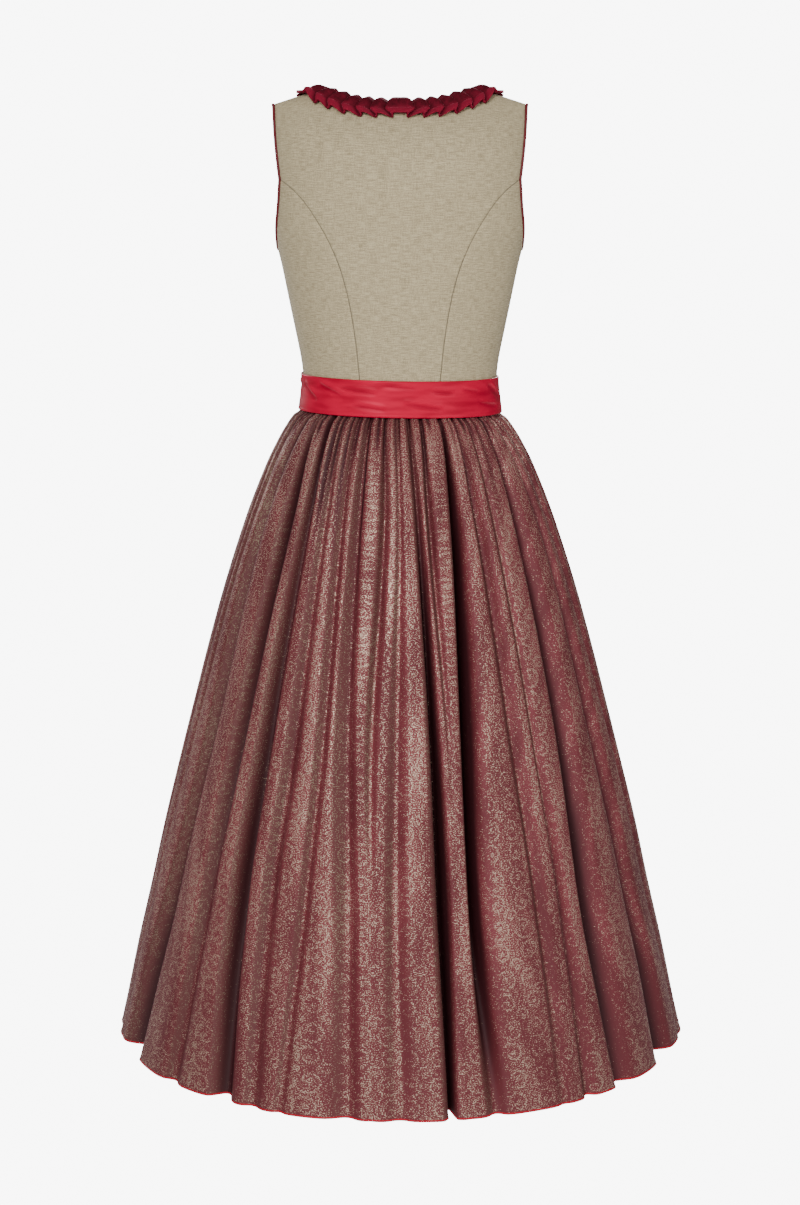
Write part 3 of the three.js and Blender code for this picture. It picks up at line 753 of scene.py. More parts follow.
@dataclass
class Tube(Sewn):
    """A cord: rows are the lines round its section, and the last row meets the first.

    Attributes:
        looped: whether the cord's end meets its start.
    """

    looped: bool = False

    def points(self) -> Array:
        """Every corner, in metres."""
        return self.outer.reshape(-1, 3) * MM

    def places(self) -> Array:
        """Each corner's place on the flat cover, in metres."""
        return self.cloth.reshape(-1, 3) * MM

    def faces(self) -> Array:
        """The corner numbers of all faces."""
        sides, steps = self.outer.shape[:2]
        across = steps if self.looped else steps - 1
        i, j = np.meshgrid(np.arange(sides), np.arange(across), indexing="ij")
        after, nxt = (i + 1) % sides, (j + 1) % steps
        quad = np.stack([i * steps + j, i * steps + nxt, after * steps + nxt, after * steps + j], -1)
        return quad.reshape(-1, 4)


def place_object(name: str, data: bpy.types.ID) -> bpy.types.Object:
    """Makes an object and puts it in the scene."""
    made = bpy.data.objects.new(name, data)
    bpy.context.scene.collection.objects.link(made)
    return made


def make_mesh(
    name: str, points: Array, faces: Array, places: Array, material: bpy.types.Material
) -> bpy.types.Object:
    """Makes a smooth mesh object.

    Args:
        name: its name.
        points: its corners, in metres.
        faces: corner numbers, four to a face.
        places: each corner's place on the flat cloth, in metres.
        material: its finish.

    Returns:
        The object, in the scene.
    """
    mesh = bpy.data.meshes.new(name)
    mesh.vertices.add(len(points))
    mesh.vertices.foreach_set("co", points.astype(np.float32).ravel())
    mesh.loops.add(faces.size)
    mesh.loops.foreach_set("vertex_index", faces.astype(np.int32).ravel())
    mesh.polygons.add(len(faces))
    mesh.polygons.foreach_set("loop_start", np.arange(0, faces.size, 4, dtype=np.int32))
    mesh.polygons.foreach_set("use_smooth", np.ones(len(faces), bool))
    mesh.update(calc_edges=True)
    layer = mesh.attributes.new(CLOTH, "FLOAT_VECTOR", "POINT")
    layer.data.foreach_set("vector", places.astype(np.float32).ravel())
    mesh.set_sharp_from_angle(angle=math.radians(65))
    mesh.materials.append(material)
    return place_object(name, mesh)


def flat_area(grid: Array) -> float:
    """The area of a grid of points, in square metres."""
    a, b = grid[:-1, :-1], grid[:-1, 1:]
    c, d = grid[1:, 1:], grid[1:, :-1]
    one = np.linalg.norm(np.cross(b - a, c - a), axis=-1)
    two = np.linalg.norm(np.cross(c - a, d - a), axis=-1)
    return float((one + two).sum() / 2) * MM * MM


@dataclass(frozen=True)
class Crease:
    """A soft trough pressed in the cloth between two places, with a ridge along its lower side.

    Attributes:
        start: its one end, as two cloth coordinates in millimetres.
        end: its other end.
        deep: depth in millimetres.
        wide: half width in millimetres.
    """

    start: tuple[float, float]
    end: tuple[float, float]
    deep: float
    wide: float

    def height(self, across: Array, along: Array) -> Array:
        """How far the crease moves the cloth out.

        Args:
            across: places across the cloth.
            along: places along it.

        Returns:
            Millimetres, below 0 in the trough and above it on the ridge.
        """
        start, end = np.array(self.start), np.array(self.end)
        way = end - start
        length = np.linalg.norm(way)
        way = way / length
        dx, dy = across - start[0], along - start[1]
        share = (dx * way[0] + dy * way[1]) / length
        side = (dy * way[0] - dx * way[1]) / self.wide
        fade = np.clip(1 - (2 * share - 1) ** 2, 0, 1) ** 0.8
        return self.deep * fade * (-np.exp(-side * side) + 0.75 * np.exp(-((side + 1.5) ** 2)))


# ---------------------------------------------------------------- the bodice's surface


@dataclass(frozen=True)
class BodyForm:
    """The outer surface of the bodice: sections at heights, a shoulder that rounds over, and the cups."""

    level: tuple[float, ...] = (
        -410, -400, -380, -360, -340, -320, -300, -262, -215, -195, -165, -130, -100, -60, -30, -10, 20,
    )  # fmt: skip
    wide: tuple[float, ...] = (
        132.4, 131.2, 128.9, 127.6, 129.6, 133.2, 137.3, 145, 154.5,
        159.2, 165.5, 168, 169, 169.5, 169, 168, 167,
    )  # fmt: skip
    back: tuple[float, ...] = (
        93.4, 92.6, 91.2, 90.4, 91.2, 92.6, 94, 97, 100, 100, 100, 98.5, 95.5, 87, 77, 66, 50,
    )  # fmt: skip
    front: tuple[float, ...] = (
        90.4, 89.6, 88, 87.6, 90, 94, 98.6, 108, 112, 110, 104, 97, 90, 80, 70, 62, 48,
    )  # fmt: skip
    shoulder_start: float = -75.0
    shoulder_arc: float = 110.0
    shoulder_y: float = 8.0
    shoulder_neck_x: float = 112.0
    shoulder_neck_z: float = 8.0
    shoulder_slope: float = 0.32
    cup_x: float = 80.0
    cup_z: float = -215.0
    cup_deep: float = 12.0
    cup_wide: float = 46.0
    cup_high: float = 48.0

    def read(self, column: str, z: Array) -> Array:
        """A section's size at a height."""
        return smooth_value(np.array(self.level, float), np.array(getattr(self, column), float), z)

    def point(self, turn: Array, height: Array) -> Array:
        """Points of the outer cloth.

        Args:
            turn: degrees round the body.
            height: millimetres, along the cloth above the shoulder's start.

        Returns:
            Points in millimetres.
        """
        turn, height = np.broadcast_arrays(np.asarray(turn, float), np.asarray(height, float))
        across, along = -np.sin(np.radians(turn)), np.cos(np.radians(turn))
        rise = np.maximum(height - self.shoulder_start, 0) / self.shoulder_arc * (math.pi / 2)
        out = np.abs(across * self.read("wide", self.shoulder_start)) - self.shoulder_neck_x
        top = self.shoulder_neck_z - self.shoulder_slope * np.maximum(out, 0)
        over = self.shoulder_start + (top - self.shoulder_start) * np.sin(rise)
        z = np.where(height > self.shoulder_start, over, height)
        x = across * self.read("wide", z)
        y = along * np.where(along > 0, self.read("back", z), self.read("front", z))
        aside = (np.abs(x) - self.cup_x) / self.cup_wide
        above = (z - self.cup_z) / self.cup_high
        y = y + np.where(along < 0, self.cup_deep * along * np.exp(-aside * aside - above * above), 0)
        y = self.shoulder_y * (1 - np.cos(rise)) + y * np.cos(rise)
        return np.stack([x, y, z], -1)

    def normal(self, turn: Array, height: Array) -> Array:
        """The direction out of the cloth at each place."""
        d_turn, d_height = 0.4, 1.0
        around = self.point(turn + d_turn, height) - self.point(turn - d_turn, height)
        up = self.point(turn, height + d_height) - self.point(turn, height - d_height)
        return unit(np.cross(around, up))

    def raised(self, turn: Array, height: Array, by: Array | float) -> Array:
        """Points moved out of the cloth by a distance."""
        shift = np.asarray(by, float)
        return self.point(turn, height) + self.normal(turn, height) * shift[..., None]


WAIST = -400.0
SHOULDER_TOP = 35.0


class SeamLine(Enum):
    """Seam and edge lines on the right side, as turn and height from one corner to the next."""

    BACK_PRINCESS = (
        (20.9, -400), (24.1, -356), (24.9, -312), (26.0, -272), (27.9, -238), (30.8, -206),
        (35.4, -174), (40.4, -152), (47.6, -130), (55.6, -115), (65.6, -104),
    )  # fmt: skip
    FRONT_PRINCESS = (
        (158.5, -400), (156.8, -352), (154.5, -300), (151.5, -262), (147.5, -215),
        (143, -180), (135, -150), (126, -125), (117.2, -105),
    )  # fmt: skip
    SIDE = ((90, -400), (90, -300), (90, -197))
    ARMHOLE_BACK_LOW = ((65.6, -104), (69.1, -138), (74.5, -165), (81, -185), (90, -197))
    ARMHOLE_BACK_HIGH = ((65.6, -104), (69.1, -67), (71.5, -38), (73.4, -5), (74.6, SHOULDER_TOP))
    ARMHOLE_FRONT_LOW = ((90, -197), (99.5, -185), (107, -165), (113.3, -138), (117.2, -105))
    ARMHOLE_FRONT_HIGH = ((117.2, -105), (115.6, -67), (112, -38), (107.5, -5), (105.4, SHOULDER_TOP))
    NECK_BACK = ((0, -15), (10, -15), (19, -12), (28, -3), (36, 11), (42.1, SHOULDER_TOP))
    NECK_FRONT = (
        (137.9, SHOULDER_TOP), (139.4, -30), (141.3, -70), (144, -105),
        (149.5, -138), (159, -158), (170.5, -165), (180, -166),
    )  # fmt: skip

    def places(self, steps: int) -> Array:
        """The line's places.

        Args:
            steps: how many steps it is split into.

        Returns:
            Turn and height of each place.
        """
        per_degree = 2.5  # millimetres to a degree, so that steps are even on the cloth
        corners = np.array(self.value, float) * (per_degree, 1)
        return smooth_curve(corners, steps + 1) / (per_degree, 1)


def straight(start: Array, end: Array, steps: int) -> Array:
    """Places from one to another in equal steps."""
    return start + (end - start) * np.linspace(0, 1, steps + 1)[:, None]


def mirrored(places: Array) -> Array:
    """The same places on the left side."""
    return places * (-1, 1)


def patch(left: Array, right: Array, top: Array) -> Array:
    """The places of a four-sided panel with a straight lower edge.

    Each row is a straight line from side to side, bent as the top edge is: fully at the top, and
    less and less below it, so that no two rows cross.

    Args:
        left: the left edge, upwards.
        right: the right edge, upwards.
        top: the upper edge, left to right.

    Returns:
        Rows by columns of places.
    """
    u = np.linspace(0, 1, len(top))[None, :, None]
    v = np.linspace(0, 1, len(left))[:, None, None]
    bend = top[None] - left[-1] * (1 - u) - right[-1] * u
    return left[:, None] * (1 - u) + right[:, None] * u + bend * v * v


@dataclass(frozen=True)
class Bodice:
    """Seven linen panels, piped at the armholes."""

    form: BodyForm = field(default_factory=BodyForm)
    cloth: float = 1.2
    seam_shift: float = 0.02
    seam_steps: int = 84
    armhole_steps: int = 44
    side_steps: int = 46
    shoulder_steps: int = 12
    neck_steps: int = 44
    centre_steps: int = 50
    front_steps: int = 50
    edge_roll: float = 0.9
    pucker: float = 0.16
    pucker_long: float = 8.5
    pucker_reach: float = 5.0
    per_degree: float = 2.6  # millimetres of weave to a degree
    piping_radius: float = 2.05
    piping_sides: int = 14
    piping_steps: int = 70  # in each quarter of the armhole
    rib_deep: float = 0.07
    rib_pitch: float = 2.4
    piping_gap: float = 0.05
    rib_room: float = 0.05  # what the cord gives up so that its ribs stay clear

    def beside(self, line: Array, by: float) -> Array:
        """Places of a line moved round the body by a distance."""
        step = 0.5
        here = self.form.point(line[:, 0], line[:, 1])
        near = self.form.point(line[:, 0] + step, line[:, 1])
        span = np.linalg.norm(near - here, axis=1) / step
        return line + np.stack([by / span, np.zeros(len(line))], 1)

    def below_shoulder(self, places: Array) -> Array:
        """Keeps places off the shoulder seam by the seam's shift."""
        return np.stack([places[:, 0], np.minimum(places[:, 1], SHOULDER_TOP - self.seam_shift)], 1)

    def back(self) -> Array:
        """The centre back's places."""
        seam = self.beside(SeamLine.BACK_PRINCESS.places(self.seam_steps), -self.seam_shift)
        right = np.vstack([seam, SeamLine.ARMHOLE_BACK_HIGH.places(self.armhole_steps)[1:]])
        right = self.below_shoulder(right)
        neck = self.below_shoulder(SeamLine.NECK_BACK.places(self.neck_steps))
        half = np.vstack([neck, straight(neck[-1], right[-1], self.shoulder_steps)[1:]])
        return patch(mirrored(right), right, np.vstack([mirrored(half[:0:-1]), half]))

    def side_back(self) -> Array:
        """The right side back's places."""
        seam = self.beside(SeamLine.BACK_PRINCESS.places(self.seam_steps), self.seam_shift)
        side = self.beside(SeamLine.SIDE.places(self.seam_steps), -self.seam_shift)
        top = SeamLine.ARMHOLE_BACK_LOW.places(self.side_steps)
        top[0], top[-1] = seam[-1], side[-1]
        return patch(seam, side, top)

    def side_front(self) -> Array:
        """The right side front's places."""
        side = self.beside(SeamLine.SIDE.places(self.seam_steps), self.seam_shift)
        seam = self.beside(SeamLine.FRONT_PRINCESS.places(self.seam_steps), -self.seam_shift)
        top = SeamLine.ARMHOLE_FRONT_LOW.places(self.side_steps)
        top[0], top[-1] = side[-1], seam[-1]
        return patch(side, seam, top)

    def front(self) -> Array:
        """The right front's places, from the princess seam to centre front and then the neck."""
        seam = self.beside(SeamLine.FRONT_PRINCESS.places(self.seam_steps), self.seam_shift)
        side = np.vstack([seam, SeamLine.ARMHOLE_FRONT_HIGH.places(self.armhole_steps)[1:]])
        side = self.below_shoulder(side)
        neck = SeamLine.NECK_FRONT.places(len(side) - 1 - self.centre_steps)[::-1]
        middle = straight(np.array([180.0, WAIST]), neck[0], self.centre_steps)
        edge = np.vstack([self.beside(middle, -self.seam_shift), self.below_shoulder(neck[1:])])
        return patch(side, edge, straight(side[-1], edge[-1], self.front_steps))

    def relief(self, grid: Array) -> Array:
        """How far the sewing pulls the cloth in: rolled edges, and puckers beside the seams.

        Args:
            grid: the panel's points.

        Returns:
            Millimetres out of the cloth for each point.
        """
        along, up = travelled(grid, 1), travelled(grid, 0)
        moved = np.zeros(grid.shape[:2])
        roll = self.edge_roll
        for far in (along, along[:, -1:] - along, up, up[-1:] - up):
            near = np.clip(1 - far / roll, 0, 1)
            moved -= roll * (1 - np.sqrt(1 - near * near))
        for far, shift in ((along, 0.0), (along[:, -1:] - along, 1.7)):
            swing = np.sin(up / self.pucker_long * math.tau + shift + 1.3 * np.sin(up / 31.0 + shift))
            moved += self.pucker * np.exp(-far / self.pucker_reach) * swing
        return np.maximum(moved, -roll)

    def panel(self, node: str, places: Array, flip: bool = False) -> Sewn:
        """A sewn panel.

        Args:
            node: the CAD node that it stands for.
            places: rows by columns of places on the right side or across the middle.
            flip: whether to make it on the left side.

        Returns:
            The panel's two sides.
        """
        turn, height = places[..., 0], places[..., 1]
        plain = self.form.point(turn, height)
        out = self.form.normal(turn, height)
        relief = self.relief(plain)[..., None]
        outer = plain + out * relief
        inner = plain + out * (np.minimum(relief, 0) * 0.3 - self.cloth)
        along = travelled(plain, 1)
        from_seam = np.minimum(along, along[:, -1:] - along)
        cloth = flat_places(turn * self.per_degree, height, from_seam)
        if flip:
            outer, inner = outer * (-1, 1, 1), inner * (-1, 1, 1)
        return Sewn(f"{node}_cloth", node, Slot.LINEN, outer, inner, cloth)

    def build(self, finishes: Finishes) -> None:
        """Args:
            finishes: every finish.
        """
        panels = [self.panel("bodice_back", self.back())]
        for side, flip in (("right", False), ("left", True)):
            panels.append(self.panel(f"bodice_side_back_{side}", self.side_back(), flip))
            panels.append(self.panel(f"bodice_side_front_{side}", self.side_front(), flip))
            panels.append(self.panel(f"bodice_front_{side}", self.front(), flip))
        for sewn in panels:
            piece = sewn.build(finishes.linen)
            width = float(travelled(sewn.outer, 1)[:, -1].max()) * MM
            length = float(travelled(sewn.outer, 0)[-1].max()) * MM
            area = max(flat_area(sewn.outer), 0.3 * width * length)
        for side, flip in (("right", False), ("left", True)):
            self.piping(f"armhole_piping_{side}", flip).build(finishes.armhole)

    def piping(self, node: str, flip: bool) -> Tube:
        """The covered cord round an armhole.

        Args:
            node: the CAD node that it stands for.
            flip: whether to make it on the left side.

        Returns:
            The cord, a closed loop.
        """
        steps = self.piping_steps
        parts = [
            SeamLine.ARMHOLE_BACK_HIGH.places(steps)[::-1],
            SeamLine.ARMHOLE_BACK_LOW.places(steps)[1:],
            SeamLine.ARMHOLE_FRONT_LOW.places(steps)[1:],
            SeamLine.ARMHOLE_FRONT_HIGH.places(steps)[1:-1],
        ]
        line = np.vstack(parts)
        here = self.form.point(line[:, 0], line[:, 1])
        out = self.form.normal(line[:, 0], line[:, 1])
        along = unit(np.roll(here, -1, axis=0) - np.roll(here, 1, axis=0))
        away = unit(np.cross(out, along))
        gap = self.piping_gap + self.piping_radius
        centre = here + away * gap - out * (self.cloth / 2)
        length = line_travelled(centre)
        rounds = np.linspace(0, math.tau, self.piping_sides + 1)[:-1]
        rib = self.rib_deep * np.sin(length[None, :] / self.rib_pitch * math.tau + 2 * rounds[:, None])
        radius = (self.piping_radius - self.rib_room + rib)[..., None]
        ring = np.cos(rounds)[:, None, None] * away[None] + np.sin(rounds)[:, None, None] * out[None]
        points = centre[None] + ring * radius
        cloth = flat_places(length, (rounds * self.piping_radius)[:, None])
        if flip:
            points = points * (-1, 1, 1)
        return Tube(f"{node}_cord", node, Slot.PIPING, points, points, cloth, looped=True)


# ---------------------------------------------------------------- the neck ribbon


@dataclass(frozen=True)
class PleatRow:
    """The pleats' shape at one row of the ribbon, in millimetres.

    Attributes:
        fold_back: how far a fold runs back along the neck.
        fold_down: how far below the stitching it is.
        tip_back: how far a tip runs back.
        tip_down: how far below the stitching it is.
        layer: the distance between layers.
        puff: how far the top layer stands out.
    """

    fold_back: float
    fold_down: float
    tip_back: float
    tip_down: float
    layer: float
    puff: float

    def down(self, at: float, tip: float, fold: float) -> float:
        """How far below the stitching the ribbon is at a place between a tip and a fold."""
        share = min(max((at - tip) / max(fold - tip, 0.1), 0), 1)
        return self.tip_down * (1 - share) + self.fold_down * share


@dataclass(frozen=True)
class NeckRibbon:
    """A velvet ribbon in knife pleats that fold away from centre back, stitched along its middle.

    Each pleat's fold comes to a point at the stitching and runs back towards centre back above and
    below it. Below, the ribbon's edge slopes, and its inner corner hangs out under the next pleat.
    """

    form: BodyForm = field(default_factory=BodyForm)
    cloth: float = 1.2
    pitch: float = 18.2
    box_half: float = 18.3
    front_gap: float = 0.6
    stitch: float = -6.4  # the stitching's distance from the neck edge, over the opening
    lower_fold: tuple[float, float] = (9.0, 13.0)  # how far the fold runs back, and down, by the edge
    lower_tip: tuple[float, float] = (-0.8, 15.9)
    upper_fold: tuple[float, float] = (8.0, 19.2)
    upper_tip: tuple[float, float] = (5.0, 18.8)
    lower_puff: float = 2.1
    upper_puff: float = 2.4
    lowest: float = 0.75  # the lowest layer's middle, above the bodice
    under: float = 10.0
    half_wide: float = 15.0
    rows: int = 27
    fine: int = 3
    seed: int = 11
    uneven: float = 0.9  # the most that a pleat is out of its place
    bend: float = 0.9  # how far before a fold or a tip the ribbon starts to turn
    roundness: float = 0.4
    point_round: float = 0.09  # how soon the folds spread from the stitching, as a share of the half width
    pinch_reach: float = 0.16
    layer_stitched: float = 1.35  # the distance between layers at the stitching
    layer_more: float = 1.5  # what it gains towards the edges

    def neck(self) -> tuple[Array, Array, Array, Array]:
        """The right half of the neck edge from centre back: distance, point, out and away."""
        samples = 400
        line = np.vstack([SeamLine.NECK_BACK.places(samples), SeamLine.NECK_FRONT.places(samples)[1:]])
        here = self.form.point(line[:, 0], line[:, 1])
        out = self.form.normal(line[:, 0], line[:, 1])
        reach = 6
        ahead = here[np.minimum(np.arange(len(here)) + reach, len(here) - 1)]
        behind = here[np.maximum(np.arange(len(here)) - reach, 0)]
        away = unit(np.cross(out, unit(ahead - behind)))
        return line_travelled(here), here, out, away

    def section(self, row: float) -> PleatRow:
        """The pleats' shape at a row.

        Args:
            row: -1 at the upper edge, 0 at the stitching and 1 at the lower edge.

        Returns:
            The shape.
        """
        share = abs(row)
        bent = math.hypot(share, self.point_round) - self.point_round
        low = row >= 0
        fold = self.lower_fold if low else self.upper_fold
        tip = self.lower_tip if low else self.upper_tip
        sign = 1 if low else -1
        pinch = 1 - math.exp(-share / self.pinch_reach)
        return PleatRow(
            fold_back=fold[0] * bent,
            fold_down=sign * fold[1] * share,
            tip_back=tip[0] * share,
            tip_down=sign * tip[1] * share,
            layer=self.layer_stitched + self.layer_more * share * pinch,
            puff=(self.lower_puff if low else self.upper_puff) * pinch * (1.25 - 0.75 * share),
        )

    def zigzag(self, row: float, total: float) -> Array:
        """The ribbon's path at a row, from centre back to centre front.

        Args:
            row: -1 at the upper edge to 1 at the lower edge.
            total: the neck edge's length.

        Returns:
            Distance along the neck, distance down from the stitching, and height, one row each.
        """
        s = self.section(row)
        last = total - self.front_gap / 2 - 3.0
        count = round((last - self.box_half) / self.pitch)
        pitch = (last - self.box_half) / count
        low = self.lowest
        mid, high = low + s.layer, low + 2 * s.layer
        path = [(0.0, s.fold_down, high + s.puff * 0.8)]
        rng = np.random.default_rng(self.seed)
        start, fold_before = 0.0, 0.0
        for k in range(count + 1):
            wobble, lift = rng.uniform(-self.uneven, self.uneven), rng.uniform(0.8, 1.2)
            pleat = self.box_half + k * pitch + wobble * (0 < k < count)
            fold, tip = pleat - s.fold_back, pleat - self.under - s.tip_back
            puff = s.puff * lift
            if k:
                for at, height in ((start + 1.2, low), (max(fold_before + 0.4, start + 1.6), low + 0.1)):
                    path.append((at, s.down(at, start, fold), height))
            base = max(fold_before, start + 2.0 * (k > 0))
            climb = fold - base
            for part, height in ((0.34, low + 0.55 * (high - low) + puff * 0.7), (0.68, high + puff)):
                at = base + climb * part
                if k:
                    path.append((at, s.down(at, start, fold), height))
                else:
                    path.append((at, s.fold_down, high + puff * (1.0 - 0.2 * part)))
            path.append((fold - self.bend, s.fold_down, high + puff * 0.35))
            path.append((fold, s.fold_down, (high + mid) / 2 + puff * 0.15))
            path.append((fold - self.bend, s.fold_down * 0.97 + s.tip_down * 0.03, mid))
            if k == count:
                break
            path.append(((fold + tip) / 2, (s.fold_down + s.tip_down) / 2, mid + 0.1))
            path.append((tip + self.bend, s.tip_down * 0.95 + s.fold_down * 0.05, mid))
            path.append((tip, s.tip_down, (mid + low) / 2))
            start, fold_before = tip, fold
        return np.array(path)

    def grid(self) -> tuple[Array, Array]:
        """The ribbon's middle surface on the right half, and its places on the flat ribbon."""
        length, here, out, away = self.neck()
        total = length[-1]
        shares = np.linspace(-1, 1, self.rows)
        shares = np.sign(shares) * np.abs(shares) ** 1.15
        rows, places = [], []
        for share in shares:
            path = self.zigzag(float(share), total)
            fine = self.smooth(path)
            at, down, height = fine[:, 0], fine[:, 1], fine[:, 2]
            across = self.stitch - down
            base = np.stack([np.interp(at, length, here[:, k]) for k in range(3)], 1)
            up = unit(np.stack([np.interp(at, length, out[:, k]) for k in range(3)], 1))
            over = unit(np.stack([np.interp(at, length, away[:, k]) for k in range(3)], 1))
            drop = np.interp(across, (-3, 4, 11, 16), (0.9, 1.3, -3.5, -7.0))
            lean = np.radians(np.interp(across, (-11, -3, 4, 11), (0, 5, 25, 40)))
            base = base + over * across[:, None] + up * drop[:, None]
            raised = up * (height * np.cos(lean))[:, None] + over * (height * np.sin(lean))[:, None]
            points = base + raised
            rows.append(points)
            places.append(flat_places(line_travelled(fine), share * self.half_wide, height))
        return np.array(rows), np.array(places)

    def smooth(self, path: Array) -> Array:
        """The zigzag with rounded folds, with the same number of points in each stretch."""
        ends = np.vstack([path[:1], path, path[-1:]])
        t = np.linspace(0, 1, self.fine, endpoint=False)[:, None]
        parts = []
        for i in range(1, len(ends) - 2):
            p0, p1, p2, p3 = ends[i - 1 : i + 3]
            parts.append(cubic(p1, p2, (p2 - p0) * self.roundness, (p3 - p1) * self.roundness, t))
        return np.vstack([*parts, path[-1:]])

    def build(self, finishes: Finishes) -> None:
        """Args:
            finishes: every finish.
        """
        right, places = self.grid()
        left = right[:, :0:-1] * (-1, 1, 1)
        flat = places[:, :0:-1] * (-1, 1, 1)
        middle = np.concatenate([left, right], axis=1)
        cloth = np.concatenate([flat, places], axis=1)
        out = grid_normals(middle)
        outer, inner = middle + out * (self.cloth / 2), middle - out * (self.cloth / 2)
        sewn = Sewn("neck_ribbon", "neck_ruffle", Slot.VELVET, outer, inner, cloth)
        piece = sewn.build(finishes.velvet)


# ---------------------------------------------------------------- the waistband


@dataclass(frozen=True)
class Waistband:
    """A satin band over the waist seam, pulled into flat creases, with a stitched lower edge."""

    form: BodyForm = field(default_factory=BodyForm)
    top: float = -358.4
    base: float = -405.9
    tilt: float = 2.3  # how much higher the wearer's left side is than the middle
    laid_on: float = 1.1
    cloth: float = 1.6
    front_gap: float = 0.6
    columns: int = 440
    rows: int = 44
    edge_roll: float = 0.8
    stitch_up: float = 4.2
    stitch_deep: float = 0.28
    stitch_half: float = 0.55
    stitch_long: float = 2.6
    wave_deep: float = 0.42
    relief_most: float = 1.4
    waist_radius: float = 89.6  # at centre front
    creases: tuple[Crease, ...] = (
        Crease((116, -367), (76, -381), 2.2, 3.1),
        Crease((86, -370), (30, -376), 2.1, 2.7),
        Crease((-4, -388), (-56, -395), 2.2, 3.0),
        Crease((-40, -372), (-72, -375), 1.7, 2.4),
        Crease((-84, -370), (-110, -374), 1.6, 2.1),
        Crease((66, -391), (18, -397), 1.3, 3.0),
        Crease((24, -365), (-22, -368), 1.1, 2.7),
        Crease((150, -371), (118, -389), 1.8, 3.4),
        Crease((-128, -365), (-160, -385), 2.1, 3.6),
        Crease((-110, -389), (-150, -395), 1.6, 2.7),
        Crease((206, -368), (166, -375), 1.8, 3.0),
        Crease((262, -385), (214, -394), 2.1, 3.3),
        Crease((318, -366), (270, -371), 1.6, 2.8),
        Crease((340, -390), (296, -382), 1.5, 3.0),
        Crease((-196, -374), (-240, -366), 1.8, 3.0),
        Crease((-236, -394), (-282, -388), 2.1, 3.1),
        Crease((-290, -368), (-336, -376), 1.6, 2.7),
        Crease((-316, -394), (-350, -392), 1.3, 2.5),
    )

    def build(self, finishes: Finishes) -> None:
        """Args:
            finishes: every finish.
        """
        end = 180 - math.degrees(self.front_gap / 2 / self.waist_radius)
        turn = np.linspace(-end, end, self.columns + 1)[None, :]
        height = np.linspace(self.top, self.base, self.rows + 1)[:, None]
        turn, height = np.broadcast_arrays(turn, height)
        level, height = height, height - self.tilt * np.sin(np.radians(turn))
        plain = self.form.raised(turn, height, self.laid_on + self.cloth)
        around = travelled(plain, 1)
        around = -(around - around[:, -1:] / 2)
        moved = np.zeros(turn.shape)
        for crease in self.creases:
            moved += crease.height(around, level)
        wave = np.sin(around / 57.0 + 0.6) + 0.7 * np.sin(around / 23.0 + level / 14.0)
        moved += self.wave_deep * wave * np.sin((level - self.top) / (self.base - self.top) * math.pi)
        line = (level - self.base - self.stitch_up) / self.stitch_half
        stitches = 0.75 + 0.25 * np.sin(around / self.stitch_long * math.tau)
        moved -= self.stitch_deep * np.exp(-line * line) * stitches
        near = np.minimum(self.top - level, level - self.base)
        near = np.clip(1 - near / self.edge_roll, 0, 1)
        moved -= self.edge_roll * 0.7 * (1 - np.sqrt(1 - near * near))
        moved = self.relief_most * np.tanh(moved / self.relief_most)
        out = self.form.normal(turn, height)
        outer = plain + out * moved[..., None]
        inner = self.form.raised(turn, height, self.laid_on)
        cloth = flat_places(around, level, moved)
        sewn = Sewn("waistband_satin", "waistband", Slot.SATIN, outer, inner, cloth)
        piece = sewn.build(finishes.satin)
        width = (self.top - self.base) * MM


# ---------------------------------------------------------------- the skirt


@dataclass(frozen=True)
class Fold:
    """A trough that runs from the waist to the hem.

    Attributes:
        turn: its middle, at five shares of the length.
        deep: its depth there, in millimetres.
        half: its half width there.
        lean: above 0 its side towards a higher turn is the steeper one.
    """

    turn: tuple[float, ...]
    deep: tuple[float, ...]
    half: tuple[float, ...]
    lean: float = 0.0


